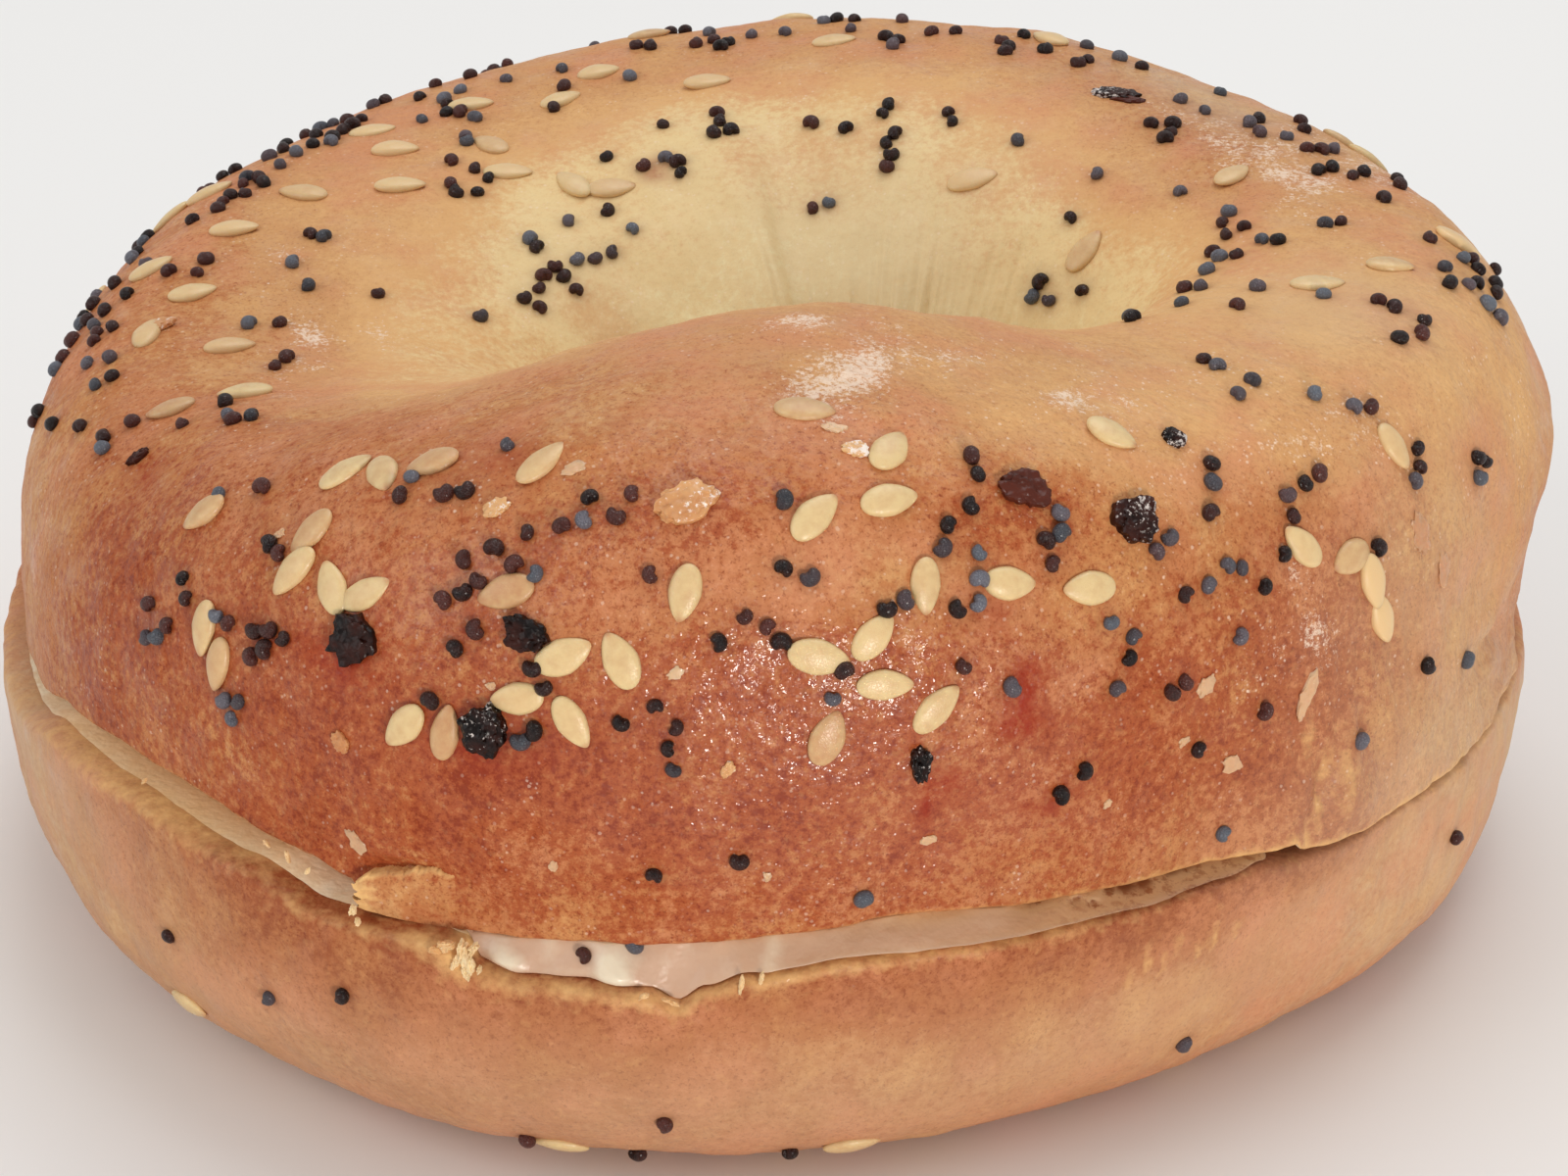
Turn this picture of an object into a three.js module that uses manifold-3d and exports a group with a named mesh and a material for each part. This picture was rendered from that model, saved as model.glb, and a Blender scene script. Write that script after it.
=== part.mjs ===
// An everything bagel, sliced across and spread with cream cheese: the bottom half of the ring,
// the spread, and the top half with its sesame seeds, poppy seeds and burnt onion flakes.
//
// Millimetres, +Z up, standing on its flat underside at z = 0, the origin under the middle of its
// footprint. +X is to the right and +Y is away from the front. A place on the crust is given by
// two angles: azimuth, round the ring from +X, and roll, round the dough's own section, where 0
// points straight outwards, 90 up, 180 into the hole and -90 down.

import * as THREE from "three";
import { ParametricGeometry } from "three/addons/geometries/ParametricGeometry.js";
import { mergeVertices } from "three/addons/utils/BufferGeometryUtils.js";
import Module from "manifold-3d";

const wasm = await Module();
wasm.setup();

// ---------------------------------------------------------------------------------------------
// Driving dimensions. Lobes are waves round the ring: how many, how high, towards which azimuth.

const REACH = 47; // middle of the ring to the belly of the crust
const REACH_LOBES = [
  { count: 1, size: 4.6, toward: 113 },
  { count: 2, size: 0.65, toward: 41 },
  { count: 3, size: 1.0, toward: -3 },
  { count: 4, size: 0.45, toward: 1 },
];
const HEIGHT = 40.2; // floor to the crest of the crust
const HEIGHT_LOBES = [
  { count: 1, size: 3.1, toward: -27 },
  { count: 2, size: 2.4, toward: 85 },
  { count: 3, size: 0.8, toward: 20 },
  { count: 4, size: 0.6, toward: -15 },
];
const BELLY = 15.4; // height of the widest place
const BELLY_TILT = 1.3;
const HOLE = { x: 3.75, y: 1.35, halfX: 12.4, halfY: 4.9 }; // the hole's waist, an ellipse
const RIDGE = 0.576; // where the crest lies, as a share of the way from the hole to the belly
const RIDGE_LOBES = [{ count: 1, size: 0.062, toward: 107 }];
const SQUARENESS = { outside: 3.0, hole: 2.7, under: 3.1 }; // superellipse powers of the section
const UNDER = 0.8; // how far the round section would reach below the floor it has settled on
const FOOTPRINT = { x: -0.8, y: 4.2 }; // middle of the footprint, from the middle of the lobes

// Swells and hollows of the hand-rolled dough, each a soft bell on the crust.
const SWELLS = [
  { azimuth: 358, roll: 45, wide: 12, tall: 8, rise: 1.2 },
  { azimuth: 358, roll: 12, wide: 13, tall: 13, rise: -1.4 },
  { azimuth: 355, roll: -20, wide: 13, tall: 12, rise: -0.4 },
  { azimuth: 150, roll: 50, wide: 12, tall: 14, rise: 0.4 },
  { azimuth: 95, roll: 35, wide: 14, tall: 18, rise: -0.7 },
];
// Where the two ends of the dough meet, the left end stands proud of the hole's far wall.
const JOIN = { azimuth: 106, wide: 42, roll: 142, tall: 22, rise: 1.7 };

// The slice: heights of the crust's cut edges at the rim, by azimuth, and the faces between them.
const TOP_EDGE = [
  [20, 16.6], [90, 17.2], [160, 17.0], [190, 16.8], [198, 17.4], [207, 19.2], [216, 20.1],
  [226, 20.1], [235, 19.3], [238.6, 18.7], [239.6, 17.4], [245, 17.6], [250, 18.1], [262, 18.2],
  [270, 18.6], [280, 19.2], [290, 19.0], [302, 18.5], [312, 18.1], [314.4, 18.2], [315.4, 17.3],
  [322, 16.6], [343, 16.0],
];
const BOTTOM_EDGE = [
  [20, 15.5], [90, 15.9], [160, 15.7], [190, 15.8], [198, 16.3], [207, 18.2], [218, 18.7],
  [230, 18.5], [238, 17.2], [247, 16.8], [249, 16.3], [257, 16.3], [263, 15.8], [270, 17.2],
  [276, 17.9], [284, 17.5], [302, 17.2], [312, 17.3], [316, 16.8], [322, 16.2], [343, 15.6],
];
const CUT_MIDDLE = { top: 18.0, bottom: 16.4 }; // heights of the two cut faces inside the rim
const CUT_DOME = 0.5; // how much further apart they are halfway between hole and rim
const RIM_FADE = 2; // power by which the rim's own waves die away inwards
const TUCK = { top: 0.9, bottom: 0.7, reach: 6.5 }; // the top edge draws in, the bottom one out
const TUCK_FADE = [[20, 1], [198, 1], [304, 1], [316, 0.25], [345, 0.25]];

const RIM_ROLLS = { low: -40, high: 60 }; // the rolls between which the slice meets the rim
const HOLE_ROLLS = { low: 220, high: 130 }; // and the hole

const GAP = 0.3; // between the spread and the bread
const SPREAD_INSET = [
  [20, 4], [190, 3.5], [230, 3.2], [240, 3.0], [249, 0.6], [258, 0.5], [264, 1.3], [290, 1.8],
  [310, 4], [330, 9], [350, 9],
];
const SPREAD_HOLE_INSET = 2.5;
const SPREAD_NOSE = 0.5; // roundness of the spread's edge

// A tongue of crust torn loose by the knife at the front left, and a fold that ends in a tip.
const TONGUE = {
  from: 239.5, to: 251, low: 17.5, high: 19.6, root: 18.7, proud: 0.55, sunk: 1.2, climb: 1.9,
};
const FOLD = { azimuth: 315.2, wide: 13, roll: 12, tall: 17, rise: 0.8 };

// Steps of the crust's mesh, round the ring and round the section, with closer ones at the tears.
const ROUND = 54;
const TEARS = [238.4, 239.8, 314.2, 315.6];
const TOP_STEPS = 21;
const BOTTOM_STEPS = 13;
const FACE_STEPS = 3;

// ---------------------------------------------------------------------------------------------
// Toppings.

const SESAME = { length: 3.1, width: 1.95, thick: 0.95, sunk: 0.38, taper: 0.42 };
const POPPY = { radius: 0.56, sunk: 0.35 };
const FLAKE = { corners: 7, top: 0.82, least: 0.8, jag: 0.35, lift: 0.1 }; // a jagged plate
const CLEAR = { flake: 0.3, sesame: 0.2, backSesame: 1.2, poppy: 0.9 }; // flake: per length
const DRAW = { flakes: 2024, drifts: 501, nextDrift: 77 }; // seeds of the random draws

// Sesame seeds: azimuth, roll, and the heading of the pointed end, 0 right and 90 up from the front.
const SESAME_SEEDS = [
  [219, 57, 200], [199, 69, 205], [201, 80, 195], [230, 67, 37], [234, 67, 300], [238, 69, 180],
  [231, 58, 225], [231, 53, 220], [235, 52, 120], [238, 52, 20], [224, 43, 255], [226, 39, 245],
  [249, 54, 195], [254, 48, 25], [251, 43, 190], [258, 48, 115], [255, 41, 300], [243, 38, 225],
  [246, 38, 75], [262, 55, 260], [269, 77, 0], [277, 71, 60], [277, 65, 20], [271, 63, 50],
  [280, 56, 270], [272, 49, 350], [277, 46, 0], [276, 51, 50], [273, 40, 75], [281, 43, 48],
  [248, 69, 60], [299, 73, 330], [294, 55, 185], [287, 56, 0], [316, 56, 150], [321, 53, 200],
  [323, 49, 300], [324, 43, 310], [330, 64, 310], [357, 84, 5], [8, 73, 315], [175, 77, 30],
  [162, 79, 10], [139, 88, 10], [134, 108, 0], [146, 98, 10], [129, 117, 120], [125, 121, 10],
  [68, 124, 15], [38, 125, 60], [67, 80, 100], [137, 79, 30], [153, 66, 40],
];
// More sesame round the back: a fixed number, drawn at random over a patch of the crust.
const BACK_SESAME = { azimuth: [25, 165], roll: [28, 74], count: 16 };

// Flakes of onion and garlic: azimuth, roll, heading, length, width and thickness.
const FLAKES = [
  [238, 47, 350, 3.1, 2.7, 1.0],
  [251, 50, 335, 2.9, 2.0, 1.1],
  [249, 39, 80, 3.1, 2.5, 1.3],
  [289, 66, 0, 3.0, 2.5, 0.9],
  [299, 62, 40, 3.2, 2.8, 1.1],
  [280, 36, 95, 2.4, 1.3, 0.9],
  [204, 60, 25, 1.8, 1.1, 0.7],
  [261, 64, 25, 4.1, 2.7, 1.0],
  [306, 72, 0, 2.2, 1.7, 0.7],
  [55, 95, 175, 5.6, 1.7, 0.7],
  [85, 50, 120, 3.0, 2.3, 0.9],
  [120, 38, 40, 2.8, 2.4, 1.0],
  [45, 48, 200, 3.4, 2.2, 0.9],
];

// Drifts of poppy seeds: azimuth, roll, the spread of each, and how many fell there.
const POPPY_DRIFTS = [
  [204, 63, 4, 3, 5], [209, 75, 4, 3, 6], [227, 61, 5, 3, 8], [238, 65, 2, 2, 3],
  [234, 52, 3, 4, 6], [220, 44, 3, 5, 5], [231, 39, 4, 3, 7], [245, 46, 4, 3, 10],
  [249, 57, 2, 2, 6], [246, 67, 2, 4, 3], [255, 61, 3, 3, 9], [259, 42, 6, 2, 7],
  [266, 56, 2, 4, 4], [271, 54, 2, 3, 7], [276, 64, 3, 3, 5], [287, 65, 4, 3, 10],
  [283, 53, 3, 4, 12], [296, 49, 6, 3, 6], [310, 59, 5, 5, 14], [327, 67, 4, 6, 7],
  [315, 34, 13, 8, 7], [174, 65, 7, 5, 17], [147, 72, 5, 4, 22], [159, 74, 4, 4, 8],
  [133, 103, 5, 6, 11], [114, 118, 8, 6, 12], [145, 126, 12, 6, 12], [181, 88, 10, 8, 11],
  [192, 57, 5, 4, 6], [129, 83, 8, 5, 12], [105, 84, 8, 5, 14], [83, 84, 8, 4, 16],
  [62, 86, 8, 5, 10], [35, 80, 9, 4, 14], [5, 76, 9, 5, 8], [348, 76, 7, 8, 9],
  [345, 105, 13, 6, 10], [65, 122, 22, 9, 17], [145, 50, 12, 12, 26], [105, 48, 14, 13, 30],
  [62, 50, 14, 13, 28], [22, 50, 10, 12, 12],
];
const POPPY_SHARE = 0.18; // the share of each drift that is large enough to matter in the solid

// Toppings on the bottom half, low down, where they were pressed into the tray.
const BOTTOM_SESAME = [[221, -30, 30], [253, -38, 170], [276, -38, 10], [100, -33, 200]];
const BOTTOM_POPPIES = [
  [222, -12], [232, -14], [239, -7], [262, -25], [251, -35], [259, -40], [271, -40],
  [306, -36], [338, -24], [150, -20], [60, -28], [110, -8],
];

// ---------------------------------------------------------------------------------------------
// Numbers.

const RAD = Math.PI / 180;
const cosine = (degrees) => Math.cos(degrees * RAD);
const sine = (degrees) => Math.sin(degrees * RAD);
const mix = (a, b, share) => a + (b - a) * share;
const bell = (distance) => Math.exp(-0.5 * distance * distance);

// The turn from one azimuth to another, -180 to 180 degrees.
function turn(from, to) {
  return ((((to - from + 180) % 360) + 360) % 360) - 180;
}

function wave(azimuth, lobes) {
  const heights = lobes.map((lobe) => lobe.size * cosine(lobe.count * (azimuth - lobe.toward)));
  return heights.reduce((sum, height) => sum + height, 0);
}

// A value given at a few azimuths, eased from each to the next round the ring.
function roundRim(stations, azimuth) {
  const [start, first] = stations[0];
  const at = ((((azimuth - start) % 360) + 360) % 360) + start;
  const closed = [...stations, [start + 360, first]];
  const next = closed.findIndex(([place]) => place > at);
  const [from, low] = closed[next - 1];
  const [to, high] = closed[next];
  const share = (at - from) / (to - from);
  return mix(low, high, share * share * (3 - 2 * share));
}

// A seeded random number generator, for everything that is scattered.
function randomDraw(seed) {
  let state = seed;
  return () => {
    state = (state * 16807) % 2147483647;
    return state / 2147483647;
  };
}

// ---------------------------------------------------------------------------------------------
// The dough: one section of the ring at an azimuth.

class Section {
  constructor(azimuth) {
    this.azimuth = azimuth;
    const reach = REACH + wave(azimuth, REACH_LOBES);
    const outer = new THREE.Vector2(reach * cosine(azimuth), reach * sine(azimuth));
    const inner = new THREE.Vector2(HOLE.halfX * cosine(azimuth), HOLE.halfY * sine(azimuth));
    inner.add(new THREE.Vector2(HOLE.x, HOLE.y));
    const footprint = new THREE.Vector2(FOOTPRINT.x, FOOTPRINT.y);
    this.width = outer.distanceTo(inner);
    this.outwards = outer.clone().sub(inner).divideScalar(this.width);
    this.inner = inner.sub(footprint);
    const ridge = RIDGE + wave(azimuth, RIDGE_LOBES);
    this.holeSide = ridge * this.width;
    this.outSide = this.width - this.holeSide;
    this.belly = BELLY + BELLY_TILT * cosine(azimuth);
    this.crest = HEIGHT + wave(azimuth, HEIGHT_LOBES);
  }

  // How far the swells, the join and the fold lift the crust at a roll.
  relief(roll) {
    let rise = 0;
    for (const swell of [...SWELLS, FOLD]) {
      const across = turn(swell.azimuth, this.azimuth) / swell.wide;
      const sharp = swell === FOLD && across < 0 ? 6 : 1;
      rise += swell.rise * bell(across * sharp) * bell(turn(swell.roll, roll) / swell.tall);
    }
    const past = turn(JOIN.azimuth, this.azimuth) / JOIN.wide;
    if (past > 0 && past < 1) {
      rise += JOIN.rise * (1 - past) ** 2 * bell(turn(JOIN.roll, roll) / JOIN.tall);
    }
    return rise;
  }

  // The crust at a roll: across from the hole's waist, and height.
  crust(roll) {
    const c = cosine(roll);
    const s = sine(roll);
    const half = c >= 0 ? this.outSide : this.holeSide;
    const tall = s >= 0 ? this.crest - this.belly : this.belly + UNDER;
    const power = s < 0 ? SQUARENESS.under : c >= 0 ? SQUARENESS.outside : SQUARENESS.hole;
    const smooth = (Math.abs(c / half) ** power + Math.abs(s / tall) ** power) ** (-1 / power);
    const radius = smooth + this.relief(roll);
    return { across: this.holeSide + radius * c, height: Math.max(this.belly + radius * s, 0) };
  }

  // The two cut faces, by the share of the way from the hole to the rim.
  cutFace(half, share) {
    const rim = roundRim(half === "top" ? TOP_EDGE : BOTTOM_EDGE, this.azimuth);
    const level = CUT_MIDDLE[half];
    const dome = CUT_DOME * 4 * share * (1 - share) * (half === "top" ? 1 : -1);
    return level + (rim - level) * Math.max(share, 0) ** RIM_FADE + dome;
  }

  // A crust point of one half, with its cut edge drawn in or out near the slice.
  halfCrust(half, roll) {
    const point = this.crust(roll);
    const above = point.height - this.cutFace(half, point.across / this.width);
    const tuck = roundRim(TUCK_FADE, this.azimuth) * bell(above / TUCK.reach) * Math.max(cosine(roll), 0);
    point.across += half === "top" ? -TUCK.top * tuck : TUCK.bottom * tuck;
    return point;
  }

  // The roll at which the crust meets a half's cut face, found by halving a range of rolls.
  cutRoll(half, { low, high }) {
    let below = low;
    let above = high;
    for (let pass = 0; pass < 40; pass++) {
      const middle = (below + above) / 2;
      const point = this.crust(middle);
      if (point.height > this.cutFace(half, point.across / this.width)) above = middle;
      else below = middle;
    }
    return (below + above) / 2;
  }

  place({ across, height }) {
    const spot = this.outwards.clone().multiplyScalar(across).add(this.inner);
    return new THREE.Vector3(spot.x, spot.y, height);
  }
}

// A closed loop round one half's section: its crust from cut edge to cut edge, then its cut face.
function halfLoop(half, azimuth, steps) {
  const section = new Section(azimuth);
  const outerCut = section.cutRoll(half, RIM_ROLLS);
  const innerCut = section.cutRoll(half, HOLE_ROLLS);
  const [from, to] = half === "top" ? [outerCut, innerCut] : [innerCut, outerCut + 360];
  const loop = [];
  for (let i = 0; i <= steps; i++) {
    loop.push(section.halfCrust(half, mix(from, to, i / steps)));
  }
  const start = loop[steps].across;
  const end = loop[0].across;
  loop[0].height = section.cutFace(half, end / section.width);
  loop[steps].height = section.cutFace(half, start / section.width);
  for (let i = 1; i <= FACE_STEPS; i++) {
    const across = mix(start, end, i / (FACE_STEPS + 1));
    loop.push({ across, height: section.cutFace(half, across / section.width) });
  }
  return loop.map((point) => section.place(point));
}

// A closed loop round the spread's section, rounded at the rim and in the hole.
function spreadLoop(azimuth) {
  const section = new Section(azimuth);
  const rim = section.halfCrust("top", section.cutRoll("top", RIM_ROLLS)).across;
  const hole = section.halfCrust("top", section.cutRoll("top", HOLE_ROLLS)).across;
  const low = hole + SPREAD_HOLE_INSET;
  const high = rim - roundRim(SPREAD_INSET, azimuth);
  const face = (half, share) => {
    const across = mix(low, high, share);
    const gap = half === "top" ? -GAP : GAP;
    return { across, height: section.cutFace(half, across / section.width) + gap };
  };
  const nose = (share, reach) => {
    const across = mix(low, high, share) + reach;
    const [a, b] = ["top", "bottom"].map((half) => section.cutFace(half, across / section.width));
    return { across, height: (a + b) / 2 };
  };
  const shares = [0, 0.5, 1];
  const loop = [
    ...shares.map((share) => face("bottom", share)),
    nose(1, SPREAD_NOSE),
    ...shares.map((share) => face("top", 1 - share)),
    nose(0, -SPREAD_NOSE),
  ];
  return loop.map((point) => section.place(point));
}

// A closed ring skinned over the loops that a function gives at steps round it.
function ringOf(makeLoop) {
  const even = Array.from({ length: ROUND }, (_, i) => (i * 360) / ROUND);
  const loops = [...even, ...TEARS].sort((a, b) => a - b).map(makeLoop);
  const count = loops.length;
  const size = loops[0].length;
  const skin = (u, v, target) => {
    target.copy(loops[Math.round(u * count) % count][Math.round(v * size) % size]);
  };
  return new ParametricGeometry(skin, count, size);
}

// ---------------------------------------------------------------------------------------------
// Solids: joining only.

function solidOf(geometry) {
  const bare = geometry.clone();
  bare.deleteAttribute("normal");
  bare.deleteAttribute("uv");
  const merged = mergeVertices(bare, 1e-4);
  const vertProperties = merged.attributes.position.array;
  const triVerts = new Uint32Array(merged.index.array);
  const make = () => new wasm.Manifold(new wasm.Mesh({ numProp: 3, vertProperties, triVerts }));
  const solid = make();
  if (solid.volume() > 0) return solid;
  for (let i = 0; i < triVerts.length; i += 3) {
    [triVerts[i + 1], triVerts[i + 2]] = [triVerts[i + 2], triVerts[i + 1]];
  }
  return make();
}

function geometryOf(solid) {
  const mesh = solid.getMesh();
  const geometry = new THREE.BufferGeometry();
  geometry.setAttribute("position", new THREE.BufferAttribute(mesh.vertProperties, 3));
  geometry.setIndex(new THREE.BufferAttribute(mesh.triVerts, 1));
  const faceted = geometry.toNonIndexed();
  faceted.computeVertexNormals();
  return faceted;
}

// The core with its toppings fused on, as one body without scraps or sealed hollows.
function fuse(core, toppings) {
  const joined = toppings.reduce((solid, topping) => solid.add(solidOf(topping)), solidOf(core));
  const larger = (one, other) => (other.volume() > one.volume() ? other : one);
  return joined.decompose().reduce(larger);
}

// ---------------------------------------------------------------------------------------------
// Toppings, made lying flat and then seated on the crust.

// The crust's frame at a place: point, outward normal, and a tangent that follows a heading.
function seat(half, azimuth, roll, heading) {
  const at = (da, dr) => {
    const section = new Section(azimuth + da);
    return section.place(section.halfCrust(half, roll + dr));
  };
  const step = 0.4;
  const point = at(0, 0);
  const along = at(step, 0).sub(at(-step, 0));
  const round = at(0, step).sub(at(0, -step));
  const normal = along.cross(round).normalize();
  const sight = new THREE.Vector3(cosine(heading), 0.45 * sine(heading), 0.89 * sine(heading));
  const tangent = sight.sub(normal.clone().multiplyScalar(sight.dot(normal))).normalize();
  const side = normal.clone().cross(tangent);
  return new THREE.Matrix4().makeBasis(tangent, side, normal).setPosition(point);
}

function sesameSeed() {
  const seed = new THREE.SphereGeometry(1, 7, 3).rotateX(Math.PI / 2);
  const position = seed.attributes.position;
  for (let i = 0; i < position.count; i++) {
    const x = position.getX(i);
    const narrow = 1 - SESAME.taper * Math.max(x, 0);
    position.setXYZ(
      i,
      (x * SESAME.length) / 2,
      (position.getY(i) * narrow * SESAME.width) / 2,
      (position.getZ(i) * narrow * SESAME.thick) / 2 + SESAME.thick * (0.5 - SESAME.sunk),
    );
  }
  return seed;
}

function poppySeed() {
  const lift = POPPY.radius * (1 - 2 * POPPY.sunk);
  return new THREE.IcosahedronGeometry(POPPY.radius, 0).translate(0, 0, lift);
}

function flake(length, width, thick, draw) {
  const plate = new THREE.CylinderGeometry(FLAKE.top, 1, 1, FLAKE.corners).rotateX(Math.PI / 2);
  const position = plate.attributes.position;
  const jag = Array.from({ length: FLAKE.corners }, () => FLAKE.least + FLAKE.jag * draw());
  for (let i = 0; i < position.count; i++) {
    const x = position.getX(i);
    const y = position.getY(i);
    const round = Math.atan2(y, x) / (2 * Math.PI) + 1;
    const corner = Math.round(round * FLAKE.corners) % FLAKE.corners;
    const reach = Math.hypot(x, y) > FLAKE.top / 2 ? jag[corner] / 2 : 0;
    const z = (position.getZ(i) + FLAKE.lift) * thick;
    position.setXYZ(i, x * reach * length, y * reach * width, z);
  }
  return plate;
}

// The tongue of crust, bent round the top half from its free end to its root.
function crustTongue() {
  const box = new THREE.BoxGeometry(1, 1, 1, 6, 2, 1);
  const position = box.attributes.position;
  for (let i = 0; i < position.count; i++) {
    const along = position.getX(i) + 0.5;
    const section = new Section(mix(TONGUE.from, TONGUE.to, along));
    const edge = section.cutFace("top", 1);
    const high = mix(TONGUE.high, TONGUE.root, along);
    const height = mix(Math.max(edge + 0.05, TONGUE.low), high, position.getY(i) + 0.5);
    const roll = section.cutRoll("top", RIM_ROLLS) + (height - edge) * TONGUE.climb;
    const rim = section.halfCrust("top", roll).across;
    const proud = mix(-TONGUE.sunk, TONGUE.proud * (1 - along * along), position.getZ(i) + 0.5);
    const place = section.place({ across: rim + proud, height });
    position.setXYZ(i, place.x, place.y, place.z);
  }
  return box;
}

// Every topping of the top half, the largest first; a seed that would land on another is left out.
function topToppings() {
  const draw = randomDraw(DRAW.flakes);
  const placed = [];
  const seats = [];
  const add = (geometry, azimuth, roll, heading, clear) => {
    const matrix = seat("top", azimuth, roll, heading);
    const centre = new THREE.Vector3().setFromMatrixPosition(matrix);
    if (seats.some((other) => other.centre.distanceTo(centre) < other.clear + clear)) return;
    seats.push({ centre, clear });
    placed.push(geometry.applyMatrix4(matrix));
  };
  for (const [azimuth, roll, heading, length, width, thick] of FLAKES) {
    add(flake(length, width, thick, draw), azimuth, roll, heading, CLEAR.flake * length);
  }
  for (const [azimuth, roll, heading] of SESAME_SEEDS) {
    add(sesameSeed(), azimuth, roll, heading, CLEAR.sesame);
  }
  for (let i = 0; i < BACK_SESAME.count; i++) {
    const azimuth = mix(...BACK_SESAME.azimuth, draw());
    const roll = mix(...BACK_SESAME.roll, draw());
    add(sesameSeed(), azimuth, roll, 360 * draw(), CLEAR.backSesame);
  }
  POPPY_DRIFTS.forEach(([middle, height, wide, tall, count], index) => {
    const fall = randomDraw(DRAW.drifts + DRAW.nextDrift * index);
    const scatter = () => 2 * (fall() + fall() + fall()) - 3;
    for (let i = 0; i < Math.round(count * POPPY_SHARE); i++) {
      const azimuth = middle + wide * scatter();
      const roll = height + tall * scatter();
      add(poppySeed(), azimuth, roll, 360 * fall(), CLEAR.poppy);
    }
  });
  return placed;
}

function bottomToppings() {
  const sesame = BOTTOM_SESAME.map(([azimuth, roll, heading]) =>
    sesameSeed().applyMatrix4(seat("bottom", azimuth, roll, heading)),
  );
  const poppies = BOTTOM_POPPIES.map(([azimuth, roll]) =>
    poppySeed().applyMatrix4(seat("bottom", azimuth, roll, 0)),
  );
  return [...sesame, ...poppies];
}

// ---------------------------------------------------------------------------------------------
// The bagel.

function part(name, geometry, colour, roughness) {
  const material = new THREE.MeshStandardMaterial({ color: colour, roughness, metalness: 0 });
  const mesh = new THREE.Mesh(geometry, material);
  mesh.name = name;
  return mesh;
}

const bottomHalf = fuse(ringOf((azimuth) => halfLoop("bottom", azimuth, BOTTOM_STEPS)), bottomToppings());
const spread = solidOf(ringOf(spreadLoop));
const topHalf = fuse(
  ringOf((azimuth) => halfLoop("top", azimuth, TOP_STEPS)),
  [crustTongue(), ...topToppings()],
);

const group = new THREE.Group();
group.add(part("bottom_half", geometryOf(bottomHalf), 0xc98d60, 0.62));
group.add(part("cream_cheese", geometryOf(spread), 0xe9dccb, 0.35));
group.add(part("top_half", geometryOf(topHalf), 0xb06a42, 0.5));

export default group;
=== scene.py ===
"""A seeded bagel, sliced across and spread with cream cheese, dressed round its fixed frame.

Sizes are in millimetres, in the frame's own axes: +Z up, the flat underside at zero and the front
at -Y. They become metres where a mesh is made. A place on the crust is an azimuth round the ring
from +X and a roll round the dough's own section, both in degrees: roll 0 points straight outwards,
90 up, 180 into the hole and -90 down.
"""

from __future__ import annotations

import logging
import math
from dataclasses import dataclass, field
from enum import Enum
from functools import cache
from typing import Callable, Sequence

import bmesh
import bpy
import numpy as np
from mathutils import Matrix, Vector, kdtree, noise

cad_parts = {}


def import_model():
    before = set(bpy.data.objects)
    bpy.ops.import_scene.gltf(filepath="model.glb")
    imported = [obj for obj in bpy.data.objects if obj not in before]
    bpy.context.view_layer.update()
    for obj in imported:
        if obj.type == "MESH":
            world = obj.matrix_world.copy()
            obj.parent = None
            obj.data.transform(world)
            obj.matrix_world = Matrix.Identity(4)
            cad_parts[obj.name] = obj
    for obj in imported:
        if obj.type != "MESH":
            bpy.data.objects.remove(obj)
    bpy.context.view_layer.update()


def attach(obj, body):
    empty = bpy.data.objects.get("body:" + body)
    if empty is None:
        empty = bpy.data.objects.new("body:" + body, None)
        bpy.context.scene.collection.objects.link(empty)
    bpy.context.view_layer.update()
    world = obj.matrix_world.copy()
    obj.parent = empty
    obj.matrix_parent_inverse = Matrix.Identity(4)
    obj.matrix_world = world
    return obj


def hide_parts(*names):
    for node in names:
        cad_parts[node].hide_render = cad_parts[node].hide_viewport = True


LOG = logging.getLogger("bagel")
MM = 0.001
SEED_SHIFT = 17.3  # how far off the noise of the next seed is read
MM_PER_AZIMUTH = 0.82  # one degree of azimuth on the outer crust
MM_PER_ROLL = 0.4  # one degree of roll
Array = np.ndarray
Colour = tuple[int, int, int]
Draw = Callable[[], float]
Masks = dict[str, Array | float]
Socket = bpy.types.NodeSocket
NodeTree = bpy.types.NodeTree
Material = bpy.types.Material
Object = bpy.types.Object
Row = Sequence[float]
Pair = tuple[float, float]
Rows = tuple[tuple[float, ...], ...]


class Half(Enum):
    """The two halves of the sliced ring."""

    TOP = "top"
    BOTTOM = "bottom"


# ---- Small sums ----


def bell(distance: Array | float) -> Array | float:
    """A soft bump: 1 in the middle and nearly 0 three widths away."""
    return np.exp(-0.5 * np.square(distance))


def turn(start: Array | float, end: Array | float) -> Array | float:
    """The turn from one azimuth to another, -180 to 180 degrees."""
    return (np.asarray(end) - start + 180.0) % 360.0 - 180.0


def ease(low: float, high: float, value: Array) -> Array:
    """An eased step from 0 at low to 1 at high."""
    share = np.clip((value - low) / (high - low), 0.0, 1.0)
    return share * share * (3.0 - 2.0 * share)


def linear(colour: Colour) -> tuple[float, float, float, float]:
    """A screen colour of 0 to 255 as the linear colour that shaders use."""
    parts = [c / 255.0 for c in colour]
    return (*[p / 12.92 if p <= 0.04045 else ((p + 0.055) / 1.055) ** 2.4 for p in parts], 1.0)


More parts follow.
